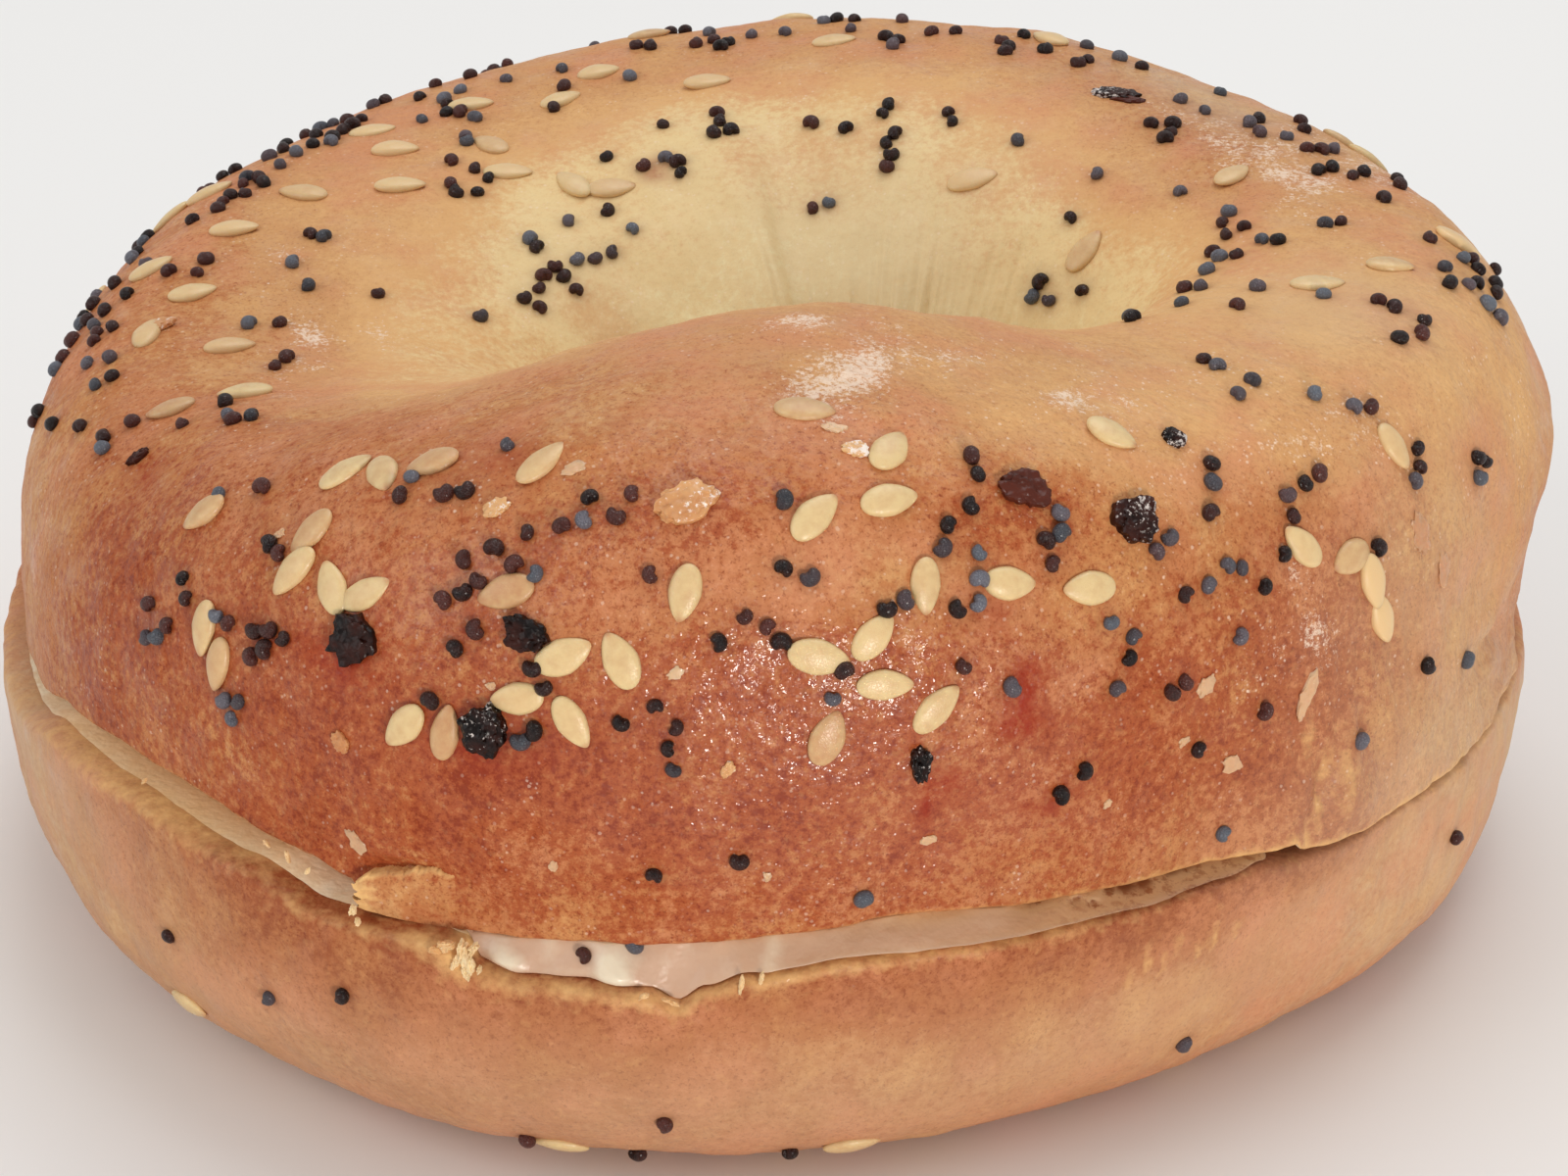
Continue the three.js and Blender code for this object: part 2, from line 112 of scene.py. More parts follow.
def grain(points: Array, size: float, depth: int = 3, seed: float = 0.0) -> Array:
    """Soft fractal noise at each point, about -1 to 1.

    Args:
        points: Places in millimetres, one row each.
        size: The size of the largest lumps.
        depth: How many finer layers are added, each half as large and half as strong.
        seed: Picks another pattern of the same kind.

    Returns:
        One value for each point.
    """
    shift = SEED_SHIFT * seed
    rows = (points / size + np.array([shift, -shift, 0.5 * shift])).tolist()
    values = (noise.fractal(row, 1.0, 2.0, depth) for row in rows)
    return np.fromiter(values, float, len(rows))


def ring_spots(azimuth: Array, radius: float, height: Array | float = 0.0) -> Array:
    """Points on a plain ring, where the noise along a cut is read.

    Args:
        azimuth: Degrees.
        radius: The ring's, in millimetres.
        height: One for all the points, or one for each.

    Returns:
        The points, one row each.
    """
    x, y = radius * np.cos(np.radians(azimuth)), radius * np.sin(np.radians(azimuth))
    return np.stack(np.broadcast_arrays(x, y, height), -1)


def random_draw(seed: int) -> Draw:
    """The seeded random numbers that scatter the frame's seeds, so that these fall alike.

    Args:
        seed: Where the run of numbers starts.

    Returns:
        A function that gives the next number from 0 to 1.
    """
    factor, modulus = 16807, 2147483647
    state = seed

    def draw() -> float:
        """The next number."""
        nonlocal state
        state = state * factor % modulus
        return state / modulus

    return draw


# ---- The dough's form ----


@dataclass(frozen=True)
class Lobe:
    """A wave round the ring: how many swells, how high, and towards which azimuth."""

    count: int
    size: float
    toward: float


@dataclass(frozen=True)
class Swell:
    """A soft rise or hollow of the crust at an azimuth and roll."""

    azimuth: float
    roll: float
    wide: float
    tall: float
    rise: float
    sharp: float = 1.0  # how much steeper it is on the side of the lower azimuths

    def at(self, azimuth: Array, roll: Array) -> Array:
        """How high it lifts each place.

        Args:
            azimuth: Degrees.
            roll: Degrees.

        Returns:
            Millimetres.
        """
        across = turn(self.azimuth, azimuth) / self.wide
        across = np.where(across < 0, across * self.sharp, across)
        return self.rise * bell(across) * bell(turn(self.roll, roll) / self.tall)


@dataclass(frozen=True)
class Rim:
    """A value given at a few azimuths, eased from each to the next round the ring."""

    stations: Rows

    def at(self, azimuth: Array) -> Array:
        """The value at each azimuth.

        Args:
            azimuth: Degrees.

        Returns:
            The values.
        """
        first, value = self.stations[0]
        closed = np.array([*self.stations, (first + 360.0, value)])
        turned = (np.asarray(azimuth, float) - first) % 360.0 + first
        index = np.searchsorted(closed[:, 0], turned, side="right") - 1
        index = np.clip(index, 0, len(closed) - 2)
        low, high = closed[index], closed[index + 1]
        share = (turned - low[..., 0]) / (high[..., 0] - low[..., 0])
        return low[..., 1] + (high[..., 1] - low[..., 1]) * share * share * (3.0 - 2.0 * share)


@dataclass
class Section:
    """The dough's upright section at each of an array of azimuths."""

    azimuth: Array
    inner: tuple[Array, Array]
    outwards: tuple[Array, Array]
    width: Array
    hole_side: Array
    belly: Array
    crest: Array

    def place(self, across: Array, height: Array) -> Array:
        """Points from their distance outwards from the hole's waist, and their height."""
        x, y = (start + way * across for start, way in zip(self.inner, self.outwards))
        return np.stack(np.broadcast_arrays(x, y, height), -1)


@dataclass(frozen=True)
class Dough:
    """The hand-rolled ring of dough, as baked and sliced, by the frame's own sizes."""

    reach: float = 47.0
    reach_lobes: tuple[Lobe, ...] = (
        Lobe(1, 4.6, 113), Lobe(2, 0.65, 41), Lobe(3, 1, -3), Lobe(4, 0.45, 1),
    )
    height: float = 40.2
    height_lobes: tuple[Lobe, ...] = (
        Lobe(1, 3.1, -27), Lobe(2, 2.4, 85), Lobe(3, 0.8, 20), Lobe(4, 0.6, -15),
    )
    belly: float = 15.4
    belly_tilt: float = 1.3
    hole: Pair = (3.75, 1.35)
    hole_half: Pair = (12.4, 4.9)
    ridge: float = 0.576
    ridge_lobe: Lobe = Lobe(1, 0.062, 107)
    square_outside: float = 3.0
    square_hole: float = 2.7
    square_under: float = 3.1
    under: float = 0.8
    footprint: Pair = (-0.8, 4.2)
    swells: tuple[Swell, ...] = (
        Swell(358, 45, 12, 8, 1.2), Swell(358, 12, 13, 13, -1.4), Swell(355, -20, 13, 12, -0.4),
        Swell(150, 50, 12, 14, 0.4), Swell(95, 35, 14, 18, -0.7),
        Swell(315.2, 12, 13, 17, 0.8, sharp=6),
    )
    join: Swell = Swell(106, 142, 42, 22, 1.7)
    join_start: Pair = (-0.22, 0.1)  # where it rises, in its own widths
    top_edge: Rim = Rim((
        (20, 16.6), (90, 17.2), (160, 17), (190, 16.8), (198, 17.4), (207, 19.2), (216, 20.1),
        (226, 20.1), (235, 19.3), (238.6, 18.7), (239.6, 17.2), (242, 17.2), (245.5, 17.2),
        (249, 17.3), (251, 17.35), (254.2, 17.6), (257.3, 17.8), (263.7, 17.95), (267, 18.2),
        (270, 18.5), (280, 19), (290, 18.4), (302, 17.8), (312, 17.7), (314.4, 17.9), (315.4, 17.2),
        (322, 16.9), (330, 16.8), (343, 16.5),
    ))
    bottom_edge: Rim = Rim((
        (20, 15.5), (90, 15.9), (160, 15.7), (190, 15.8), (198, 16.3), (207, 18.2), (218, 18.7),
        (230, 18.5), (236.5, 17.3), (240, 17.4), (243, 17.6), (246, 17.7), (247.6, 17.4),
        (248.9, 16.3), (252, 15.9), (257, 16.1), (261, 15.9), (263, 15.2), (265, 16.2), (268, 17.1),
        (276, 17.9), (284, 17.8), (292, 17.7), (302, 17.5), (311, 17.4), (316, 16.9), (322, 16.6),
        (343, 16.1),
    ))
    cut_middle: Pair = (18.0, 16.4)  # of the top half and of the bottom half
    cut_dome: float = 0.5
    rim_fade: float = 2.0
    tuck: Pair = (-0.9, 0.7)
    tuck_reach: float = 6.5
    tuck_fade: Rim = Rim(((20, 1), (198, 1), (304, 1), (316, -0.1), (345, -0.2)))
    rim_rolls: Pair = (-40.0, 60.0)
    hole_rolls: Pair = (220.0, 130.0)
    halvings: int = 40  # in the search for a cut edge
    probe: float = 0.4  # degrees each way, to measure the crust's slope

    @staticmethod
    def wave(azimuth: Array, lobes: Sequence[Lobe]) -> Array:
        """The sum of the lobes at each azimuth."""
        return sum(w.size * np.cos(np.radians(w.count * (azimuth - w.toward))) for w in lobes)

    def section(self, azimuth: Array) -> Section:
        """The dough's section at each azimuth.

        Args:
            azimuth: Degrees, an array of any shape.

        Returns:
            The sections, with arrays of that shape.
        """
        azimuth = np.asarray(azimuth, float)
        cosine, sine = np.cos(np.radians(azimuth)), np.sin(np.radians(azimuth))
        reach = self.reach + self.wave(azimuth, self.reach_lobes)
        inner_x = self.hole[0] + self.hole_half[0] * cosine
        inner_y = self.hole[1] + self.hole_half[1] * sine
        span_x, span_y = reach * cosine - inner_x, reach * sine - inner_y
        width = np.hypot(span_x, span_y)
        ridge = self.ridge + self.wave(azimuth, [self.ridge_lobe])
        return Section(
            azimuth=azimuth,
            inner=(inner_x - self.footprint[0], inner_y - self.footprint[1]),
            outwards=(span_x / width, span_y / width),
            width=width,
            hole_side=ridge * width,
            belly=self.belly + self.belly_tilt * cosine,
            crest=self.height + self.wave(azimuth, self.height_lobes),
        )

    def relief(self, azimuth: Array, roll: Array) -> Array:
        """How far the swells and the join lift the crust.

        Args:
            azimuth: Degrees.
            roll: Degrees.

        Returns:
            Millimetres.
        """
        rise = sum(swell.at(azimuth, roll) for swell in self.swells)
        past = turn(self.join.azimuth, azimuth) / self.join.wide
        fading = ease(*self.join_start, past) * np.square(1.0 - np.clip(past, 0.0, 1.0))
        return rise + self.join.rise * fading * bell(turn(self.join.roll, roll) / self.join.tall)

    def crust(self, section: Section, roll: Array) -> tuple[Array, Array]:
        """The whole crust at a roll.

        Args:
            section: The dough's sections.
            roll: Degrees.

        Returns:
            The distance outwards from the hole's waist, and the height.
        """
        cosine, sine = np.cos(np.radians(roll)), np.sin(np.radians(roll))
        half = np.where(cosine >= 0, section.width - section.hole_side, section.hole_side)
        tall = np.where(sine >= 0, section.crest - section.belly, section.belly + self.under)
        outside = np.where(cosine >= 0, self.square_outside, self.square_hole)
        power = np.where(sine < 0, self.square_under, outside)
        sides = np.abs(cosine / half) ** power + np.abs(sine / tall) ** power
        radius = sides ** (-1.0 / power) + self.relief(section.azimuth, roll)
        across = section.hole_side + radius * cosine
        return across, np.maximum(section.belly + radius * sine, 0.0)

    def cut_face(self, half: Half, section: Section, share: Array) -> Array:
        """The height of a half's cut face.

        Args:
            half: The half.
            section: The dough's sections.
            share: The share of the way from the hole's waist to the rim.

        Returns:
            Millimetres.
        """
        top = half is Half.TOP
        rim = (self.top_edge if top else self.bottom_edge).at(section.azimuth)
        level = self.cut_middle[0 if top else 1]
        dome = self.cut_dome * 4.0 * share * (1.0 - share) * (1.0 if top else -1.0)
        return level + (rim - level) * np.maximum(share, 0.0) ** self.rim_fade + dome

    def half_crust(self, half: Half, section: Section, roll: Array) -> tuple[Array, Array]:
        """The crust of one half, its cut edge drawn in or out near the slice.

        Args:
            half: The half.
            section: The dough's sections.
            roll: Degrees.

        Returns:
            The distance outwards from the hole's waist, and the height.
        """
        across, height = self.crust(section, roll)
        above = height - self.cut_face(half, section, across / section.width)
        outward = np.maximum(np.cos(np.radians(roll)), 0.0)
        tuck = self.tuck_fade.at(section.azimuth) * bell(above / self.tuck_reach) * outward
        return across + self.tuck[0 if half is Half.TOP else 1] * tuck, height

    def cut_roll(self, half: Half, section: Section, rolls: Pair) -> Array:
        """The roll at which the crust meets a half's cut face.

        Args:
            half: The half.
            section: The dough's sections.
            rolls: A roll that lies below the face and one above it, between which it searches.

        Returns:
            Degrees.
        """
        below = np.full(section.azimuth.shape, rolls[0])
        above = np.full(section.azimuth.shape, rolls[1])
        for _ in range(self.halvings):
            middle = (below + above) / 2.0
            across, height = self.crust(section, middle)
            over = height > self.cut_face(half, section, across / section.width)
            above = np.where(over, middle, above)
            below = np.where(over, below, middle)
        return (below + above) / 2.0

    def point(self, half: Half, azimuth: Array, roll: Array) -> Array:
        """Points of a half's smooth crust."""
        section = self.section(azimuth)
        return section.place(*self.half_crust(half, section, roll))

    def axes(self, half: Half, azimuth: Array, roll: Array) -> tuple[Array, Array, Array]:
        """Steps along the crust at each place: one degree of azimuth, one of roll, the normal.

        Args:
            half: The half whose crust it is.
            azimuth: Degrees.
            roll: Degrees.

        Returns:
            The step round the ring, the step round the section, and the outward unit normal.
        """
        step = self.probe
        along = self.point(half, azimuth + step, roll) - self.point(half, azimuth - step, roll)
        up = self.point(half, azimuth, roll + step) - self.point(half, azimuth, roll - step)
        normal = np.cross(along, up)
        normal /= np.maximum(np.linalg.norm(normal, axis=-1, keepdims=True), 1e-9)
        return along / (2 * step), up / (2 * step), normal


# ---- The crust's own fine relief, and how it baked ----


@dataclass(frozen=True)
class Ripples:
    """A patch of stretch marks in the skin, long one way and short the other."""

    azimuth: float
    roll: float
    wide: float
    tall: float
    rise: float
    gap: float  # between one ripple and the next, in millimetres
    long: float  # of a ripple
    upright: bool = True  # whether they run round the section and not round the ring

    def at(self, azimuth: Array, roll: Array, seed: float) -> Array:
        """How far they lift each place.

        Args:
            azimuth: Degrees.
            roll: Degrees.
            seed: Picks their pattern.

        Returns:
            Millimetres.
        """
        reach = bell(turn(self.azimuth, azimuth) / self.wide)
        reach = reach * bell(turn(self.roll, roll) / self.tall)
        near = reach > 0.03
        ways = [MM_PER_AZIMUTH * azimuth, MM_PER_ROLL * roll]
        short, long = ways if self.upright else ways[::-1]
        rows = np.stack([short / self.gap, long / self.long, 0 * long + seed], -1)[near]
        lift = np.zeros(azimuth.shape)
        lift[near] = grain(rows, 1.0, 2, seed) * reach[near]
        return self.rise * lift


@dataclass(frozen=True)
class Skin:
    """The fine relief of the baked skin: lumps, dimples, stretch marks and the join's crease."""

    lumps: Rows = ((9.0, 0.26), (3.6, 0.14), (1.5, 0.06))
    creases: tuple[Swell, ...] = (
        Swell(102.5, 139, 2.0, 9, -0.3),  # where the dough's two ends join, in the hole
        Swell(344, 39, 10, 15, -1),
        Swell(240.4, 14.6, 1.3, 0.8, -0.5), Swell(242.8, 16.0, 1.5, 0.8, -0.5),  # over the tongue
        Swell(315.6, 8, 0.6, 4, -0.45), Swell(316.9, 15, 0.6, 4, -0.42),
        Swell(317, 21, 0.7, 4, -0.34), Swell(314.6, 28, 0.8, 4, -0.26),
        Swell(312.2, 36, 0.8, 4, -0.22), Swell(319.4, 14, 1.3, 7, 0.28),
        Swell(343.5, 21, 2.6, 2.2, -0.7),  # a notch over the seam
    )
    ripples: tuple[Ripples, ...] = (
        Ripples(80, 150, 24, 17, 0.3, 1.5, 9), Ripples(335, -14, 14, 16, 0.26, 1.7, 7),
        Ripples(322, 30, 6, 14, 0.34, 1.2, 5), Ripples(348, 20, 10, 22, 0.3, 1.8, 6, upright=False),
        Ripples(262, 74, 26, 12, 0.12, 1.1, 4, upright=False),
        Ripples(150, -10, 50, 16, 0.2, 1.8, 7), Ripples(60, 5, 40, 22, 0.2, 1.8, 7),
    )
    board: float = 2.5  # the height from which it stands out in full

    def rise(self, points: Array, azimuth: Array, roll: Array) -> Array:
        """How far the skin stands out from the smooth form.

        Args:
            points: The places, in millimetres.
            azimuth: Their azimuths.
            roll: Their rolls.

        Returns:
            Millimetres along the normal.
        """
        total = sum(crease.at(azimuth, roll) for crease in self.creases)
        for index, (size, depth) in enumerate(self.lumps):
            total = total + depth * grain(points, size, 2, index + 1.0)
        for index, patch in enumerate(self.ripples):
            total = total + patch.at(azimuth, roll, 11.0 + index)
        return total * ease(0.0, self.board, points[:, 2])


@dataclass(frozen=True)
class Patch:
    """A patch of the crust with its own tone."""

    azimuth: float
    roll: float
    tone: float
    wide: float = 11.0
    tall: float = 10.0

    def weight(self, azimuth: Array, roll: Array) -> Array:
        """How much it counts at each place."""
        across = turn(self.azimuth, azimuth) / self.wide
        return np.exp(-0.5 * (across**2 + (turn(self.roll, roll) / self.tall) ** 2))


def patches(rows: Sequence[Row]) -> tuple[Patch, ...]:
    """Patches from short rows: azimuth, roll, tone, and the widths where they aren't usual."""
    return tuple(Patch(*row) for row in rows)


@dataclass(frozen=True)
class Bake:
    """How far each place has browned: 0 for pale dough, 1 for deep chestnut; in the hole a few
    patches are partly painted shade.
    """

    by_roll: Rim = Rim((
        (-110, 0.58), (-72, 0.66), (-40, 0.46), (-18, 0.5), (0, 0.64), (20, 0.74), (48, 0.74),
        (75, 0.58), (95, 0.42), (118, 0.24), (145, 0.15), (215, 0.16),
    ))
    top: tuple[Patch, ...] = patches([
        (270, 34, 0.92), (258, 20, 0.84), (234, 32, 0.94), (248, 32, 0.95), (222, 33, 0.92),
        (224, 22, 0.72, 7, 7), (230, 20, 0.92, 3.5, 5), (213, 50, 0.84), (196, 42, 0.56, 6, 10),
        (218, 65, 0.72), (183, 88, 0.6), (184, 75, 0.68, 10, 8), (246, 78, 0.66), (236, 60, 0.78),
        (238, 46, 0.84, 10, 8), (249, 9, 0.72, 5, 4), (254, 45, 0.66, 3, 6), (261, 64, 0.94, 7, 5),
        (258, 77, 0.52, 6, 4), (273, 57, 0.48, 7, 3.5), (293, 56, 0.66, 7, 4),
        (289, 63, 0.95, 5, 4), (276, 50, 0.86, 8, 3.5), (310, 76, 0.3, 9, 6), (277, 26, 0.96, 8, 5),
        (274, 11, 0.9, 6, 5), (318, 18, 0.92, 6, 8), (264, 70, 0.74), (267, 91, 0.54),
        (288, 88, 0.46), (304, 72, 0.46, 6, 7), (298, 50, 0.76), (303, 30, 0.96), (284, 19, 0.8),
        (293, 18, 0.74), (321, 48, 0.92), (332, 40, 0.7), (314, 52, 0.9, 5, 8),
        (316, 37, 0.94, 6, 6), (336, 26, 0.5, 6, 8), (46, 97, 0.76, 12, 7), (20, 92, 0.56, 9, 6),
        (327, 18, 0.72), (318.5, 3.5, 0.95, 3.5, 3), (319, 9, 0.95, 1.6, 3), (335, 8, 0.62),
        (341, 56, 0.38), (340, 35, 0.38, 5, 8), (345, 90, 0.36), (324, 64, 0.54), (357, 74, 0.42),
        (8, 90, 0.42), (39, 111, 0.6, 9, 7), (38, 126, 0.18), (60, 112, 0.34), (72, 95, 0.58),
        (90, 97, 0.54), (106, 97, 0.56), (77, 115, 0.2), (97, 116, 0.1), (109, 110, 0.12, 7, 5),
        (94, 119, 0.52, 2.6, 4), (86, 118, 0.46, 2.6, 4), (104, 122, 0.44, 3, 3),
        (121, 104, 0.4, 8, 6), (131, 115, 0.2, 7, 7), (127, 86, 0.5, 10, 7), (151, 105, 0.44),
        (207, 113, 0.28), (176, 122, 0.28), (119, 134, 0.14), (129, 129, 0.36, 7, 5),
        # The darker patch at azimuth 146, roll 138 is painted shade in a fold of the hole.
        (96, 127, 0.34, 10, 4), (142, 128, 0.1), (146, 138, 0.44, 6, 7),
    ])
    bottom: tuple[Patch, ...] = patches([
        (264, -5, 0.8), (225, 3, 0.9), (218, 3, 0.84, 5, 4), (206, -4, 0.36, 5, 6),
        (309, -26, 0.58, 5, 6), (240, 3, 0.86), (218, -13, 0.54), (303, -4, 0.9),
        (222, -4, 0.76, 8, 6), (318, 2, 1, 5, 5), (329, -20, 0.46), (271, -10, 0.46, 6, 5),
        (206, 1, 0.44), (212, -7, 0.38), (248, -14, 0.7), (259, -23, 0.64), (282, -12, 0.78),
        (291, -19, 0.58), (300, -22, 0.54), (314, -18, 0.46), (341, -24, 0.34), (282, 1, 0.8),
    ])
    grey: tuple[Patch, ...] = patches([
        # The first patch greys the hole's wall on the sunken side of the join, partly its own tone
        # and partly painted shade; the second is painted shade in the fold at azimuth 145.
        (85, 146, 0.8, 26, 16), (145, 142, 0.4, 12, 10), (332, 10, 0.5, 14, 14),
        (330, 45, 0.35, 10, 12), (205, 2, 0.35, 12, 8), (45, 84, 0.5, 9, 7),
        (262, -24, 0.34, 60, 13), (345, 84, 0.3, 9, 12),
    ])
    gloss: tuple[Patch, ...] = patches([
        (273.5, 35, 1, 8, 8), (270, 42, 0.5, 12, 12), (282, 28, 0.8, 8, 8), (268, 27, 0.6, 8, 6),
        (250, 44, 0.45, 10, 10), (262, 52, 0.45, 12, 10), (262, 58, 0.4, 14, 10),
        (290, 45, 0.6, 5, 7), (230, 40, 0.25, 16, 14), (60, 84, 0.3, 14, 8),
    ])
    flour: tuple[Patch, ...] = patches([
        (266, 97, 0.95, 6, 3), (277, 91, 0.8, 3, 3), (273, 86, 0.9, 4, 6), (272, 79, 0.7, 4, 4),
        (285, 88, 0.5, 3, 3), (296, 80, 0.8, 3, 3), (302, 77, 0.7, 3, 3), (294, 94, 0.35, 8, 5),
        (205, 84, 0.6, 4, 4), (194, 92, 0.6, 3, 5), (319, 69, 0.5, 4, 3), (327, 71, 0.5, 4, 3),
        (328, 66, 0.55, 4, 4), (315, 48, 0.4, 6, 7), (324, 42, 0.35, 5, 8), (306, 70, 0.55, 6, 5),
        (189, 86, 0.5, 4, 4), (315, 82, 0.5, 12, 6), (284, 72, 0.4, 6, 5), (38, 94, 0.75, 12, 6),
        (22, 92, 0.6, 9, 7), (25, 78, 0.6, 9, 9), (350, 62, 0.4, 8, 10), (40, 50, 0.4, 20, 14),
        (312, 38, 0.35, 7, 8), (105, 60, 0.3, 16, 12), (300, 56, 0.3, 6, 7), (184, 97, 0.85, 5, 4),
        (171, 93, 0.6, 4, 4), (183, 108, 0.7, 6, 2.5), (188, 110, 0.5, 3, 2), (165, 89, 0.5, 3, 4),
        (212, 74, 0.4, 6, 5), (243, 64, 0.3, 5, 4),
    ])
    stain: tuple[Patch, ...] = patches([
        (287.9, 42, 1, 0.9, 1.9), (288.4, 45.5, 1, 1, 1.7), (207, 59, 0.6, 2.2, 2.2),
        (243, 70, 0.45, 4.5, 3), (285.8, 52.5, 0.55, 1, 1.3), (117.5, 121, 0.85, 2, 1.7),
        (290.2, 27, 0.6, 1.7, 2.2), (280.6, 30.5, 1, 0.4, 2.8), (282.3, 33, 0.7, 1.2, 1.8),
        (288.2, 40, 0.8, 1.8, 1.4), (237.5, 45, 0.75, 2.6, 2.8), (249, 37.5, 0.7, 2.8, 2.6),
        (70, 60, 0.5, 4, 4), (130, 55, 0.5, 5, 4),
    ])

    base: float = 0.12  # how much the usual tone counts beside the patches

    def _blend(self, marks: Sequence[Patch], azimuth: Array, roll: Array) -> Array:
        """The usual browning at each roll, drawn to the tone of the patches near it.

        Args:
            marks: The patches.
            azimuth: Degrees.
            roll: Degrees.

        Returns:
            How brown each place is, 0 to 1.
        """
        total = np.full(azimuth.shape, self.base)
        tone = total * self.by_roll.at(roll)
        for mark in marks:
            weight = mark.weight(azimuth, roll)
            total = total + weight
            tone = tone + weight * mark.tone
        return tone / total

    @staticmethod
    def _heap(marks: Sequence[Patch], azimuth: Array, roll: Array) -> Array:
        """The patches laid over each other, each leaving a share of what is under it.

        Args:
            marks: The patches.
            azimuth: Degrees.
            roll: Degrees.

        Returns:
            How far each place is covered, 0 to 1.
        """
        clear = np.ones(azimuth.shape)
        for mark in marks:
            clear = clear * (1.0 - np.clip(mark.tone * mark.weight(azimuth, roll), 0.0, 1.0))
        return 1.0 - clear

    def masks(self, half: Half, azimuth: Array, roll: Array) -> dict[str, Array]:
        """The crust's masks for the shader.

        Args:
            half: The half whose crust it is.
            azimuth: Azimuths of its vertices.
            roll: Their rolls.

        Returns:
            One array from 0 to 1 for each mask.
        """
        top = half is Half.TOP
        layers = {"gloss": self.gloss, "flour": self.flour, "stain": self.stain}
        masks = {name: marks if top else () for name, marks in layers.items()} | {"grey": self.grey}
        return {
            "bake": self._blend(self.top if top else self.bottom, azimuth, roll),
            **{name: self._heap(marks, azimuth, roll) for name, marks in masks.items()},
        }


# ---- Mesh making ----


@dataclass
class Mould:
    """Vertices, faces and vertex masks of one piece, gathered before it becomes an object."""

    name: str
    vertices: list[Array] = field(default_factory=list)
    faces: list[Array] = field(default_factory=list)
    materials: list[Array] = field(default_factory=list)
    masks: dict[str, list[Array]] = field(default_factory=dict)
    count: int = 0

    def add(self, points: Array, faces: Array, masks: Masks) -> None:
        """Adds a stretch of mesh, in the first material slot.

        Args:
            points: Its vertices, in millimetres.
            faces: Rows of three or four of its own vertex numbers.
            masks: A value, or one for each vertex, for every mask of the piece.
        """
        self.cover(faces + self.count)
        self.vertices.append(points)
        for name, values in masks.items():
            self.masks.setdefault(name, []).append(np.broadcast_to(values, len(points)))
        self.count += len(points)

    def cover(self, faces: Array, slot: int = 0) -> None:
        """Adds faces in a material slot, by vertex numbers of the whole piece."""
        self.faces.append(faces)
        self.materials.append(np.full(len(faces), slot))

    def cast(
        self, materials: Sequence[Material], slot: str, node: str | None = None,
        sharp: float | None = None,
    ) -> Object:
        """Makes the object.

        Args:
            materials: Its material slots, in order.
            slot: The name of a record slot for its finish; it is not used.
            node: The frame node that it stands for, if any.
            sharp: The angle in degrees past which an edge is hard, if any is.

        Returns:
            The object, linked to the scene and riding on the frame.
        """
        mesh = bpy.data.meshes.new(self.name)
        rows = [row for block in self.faces for row in block.tolist()]
        mesh.from_pydata((np.concatenate(self.vertices) * MM).tolist(), [], rows)
        mesh.polygons.foreach_set("material_index", np.concatenate(self.materials).astype(np.int32))
        for name, blocks in self.masks.items():
            layer = mesh.attributes.new(name, "FLOAT", "POINT")
            layer.data.foreach_set("value", np.concatenate(blocks).astype(np.float32))
        mesh.shade_smooth()
        if sharp is not None:
            mesh.set_sharp_from_angle(angle=math.radians(sharp))
        for material in materials:
            mesh.materials.append(material)
        mesh.validate()
        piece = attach(place_object(self.name, mesh), "root")
        if node:
            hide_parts(node)
        return piece


def place_object(name: str, data: bpy.types.ID) -> Object:
    """A new object in the scene.

    Args:
        name: What it is called.
        data: Its mesh, light or camera.

    Returns:
        The object.
    """
    made = bpy.data.objects.new(name, data)
    bpy.context.scene.collection.objects.link(made)
    return made


def ring_faces(loops: int, size: int, closed: bool = True) -> Array:
    """Faces between closed loops of points.

    Args:
        loops: How many loops there are.
        size: How many points a loop has.
        closed: Whether the last loop joins the first.

    Returns:
        Rows of four vertex numbers.
    """
    i, j = np.meshgrid(np.arange(loops), np.arange(size), indexing="ij")
    i, j = i.ravel(), j.ravel()
    ahead, up = (i + 1) % loops, (j + 1) % size
    faces = np.stack([i * size + j, ahead * size + j, ahead * size + up, i * size + up], -1)
    return faces if closed else faces[:-size]


def fan_faces(first: int, size: int, tip: int) -> Array:
    """Triangles from a closed loop of points to its tip.

    Args:
        first: The number of the loop's first vertex.
        size: How many points it has.
        tip: The number of the tip's vertex.

    Returns:
        Rows of three vertex numbers.
    """
    step = np.arange(size)
    return np.stack([first + step, first + (step + 1) % size, np.full(size, tip)], -1)


# ---- Shader groups and finishes ----


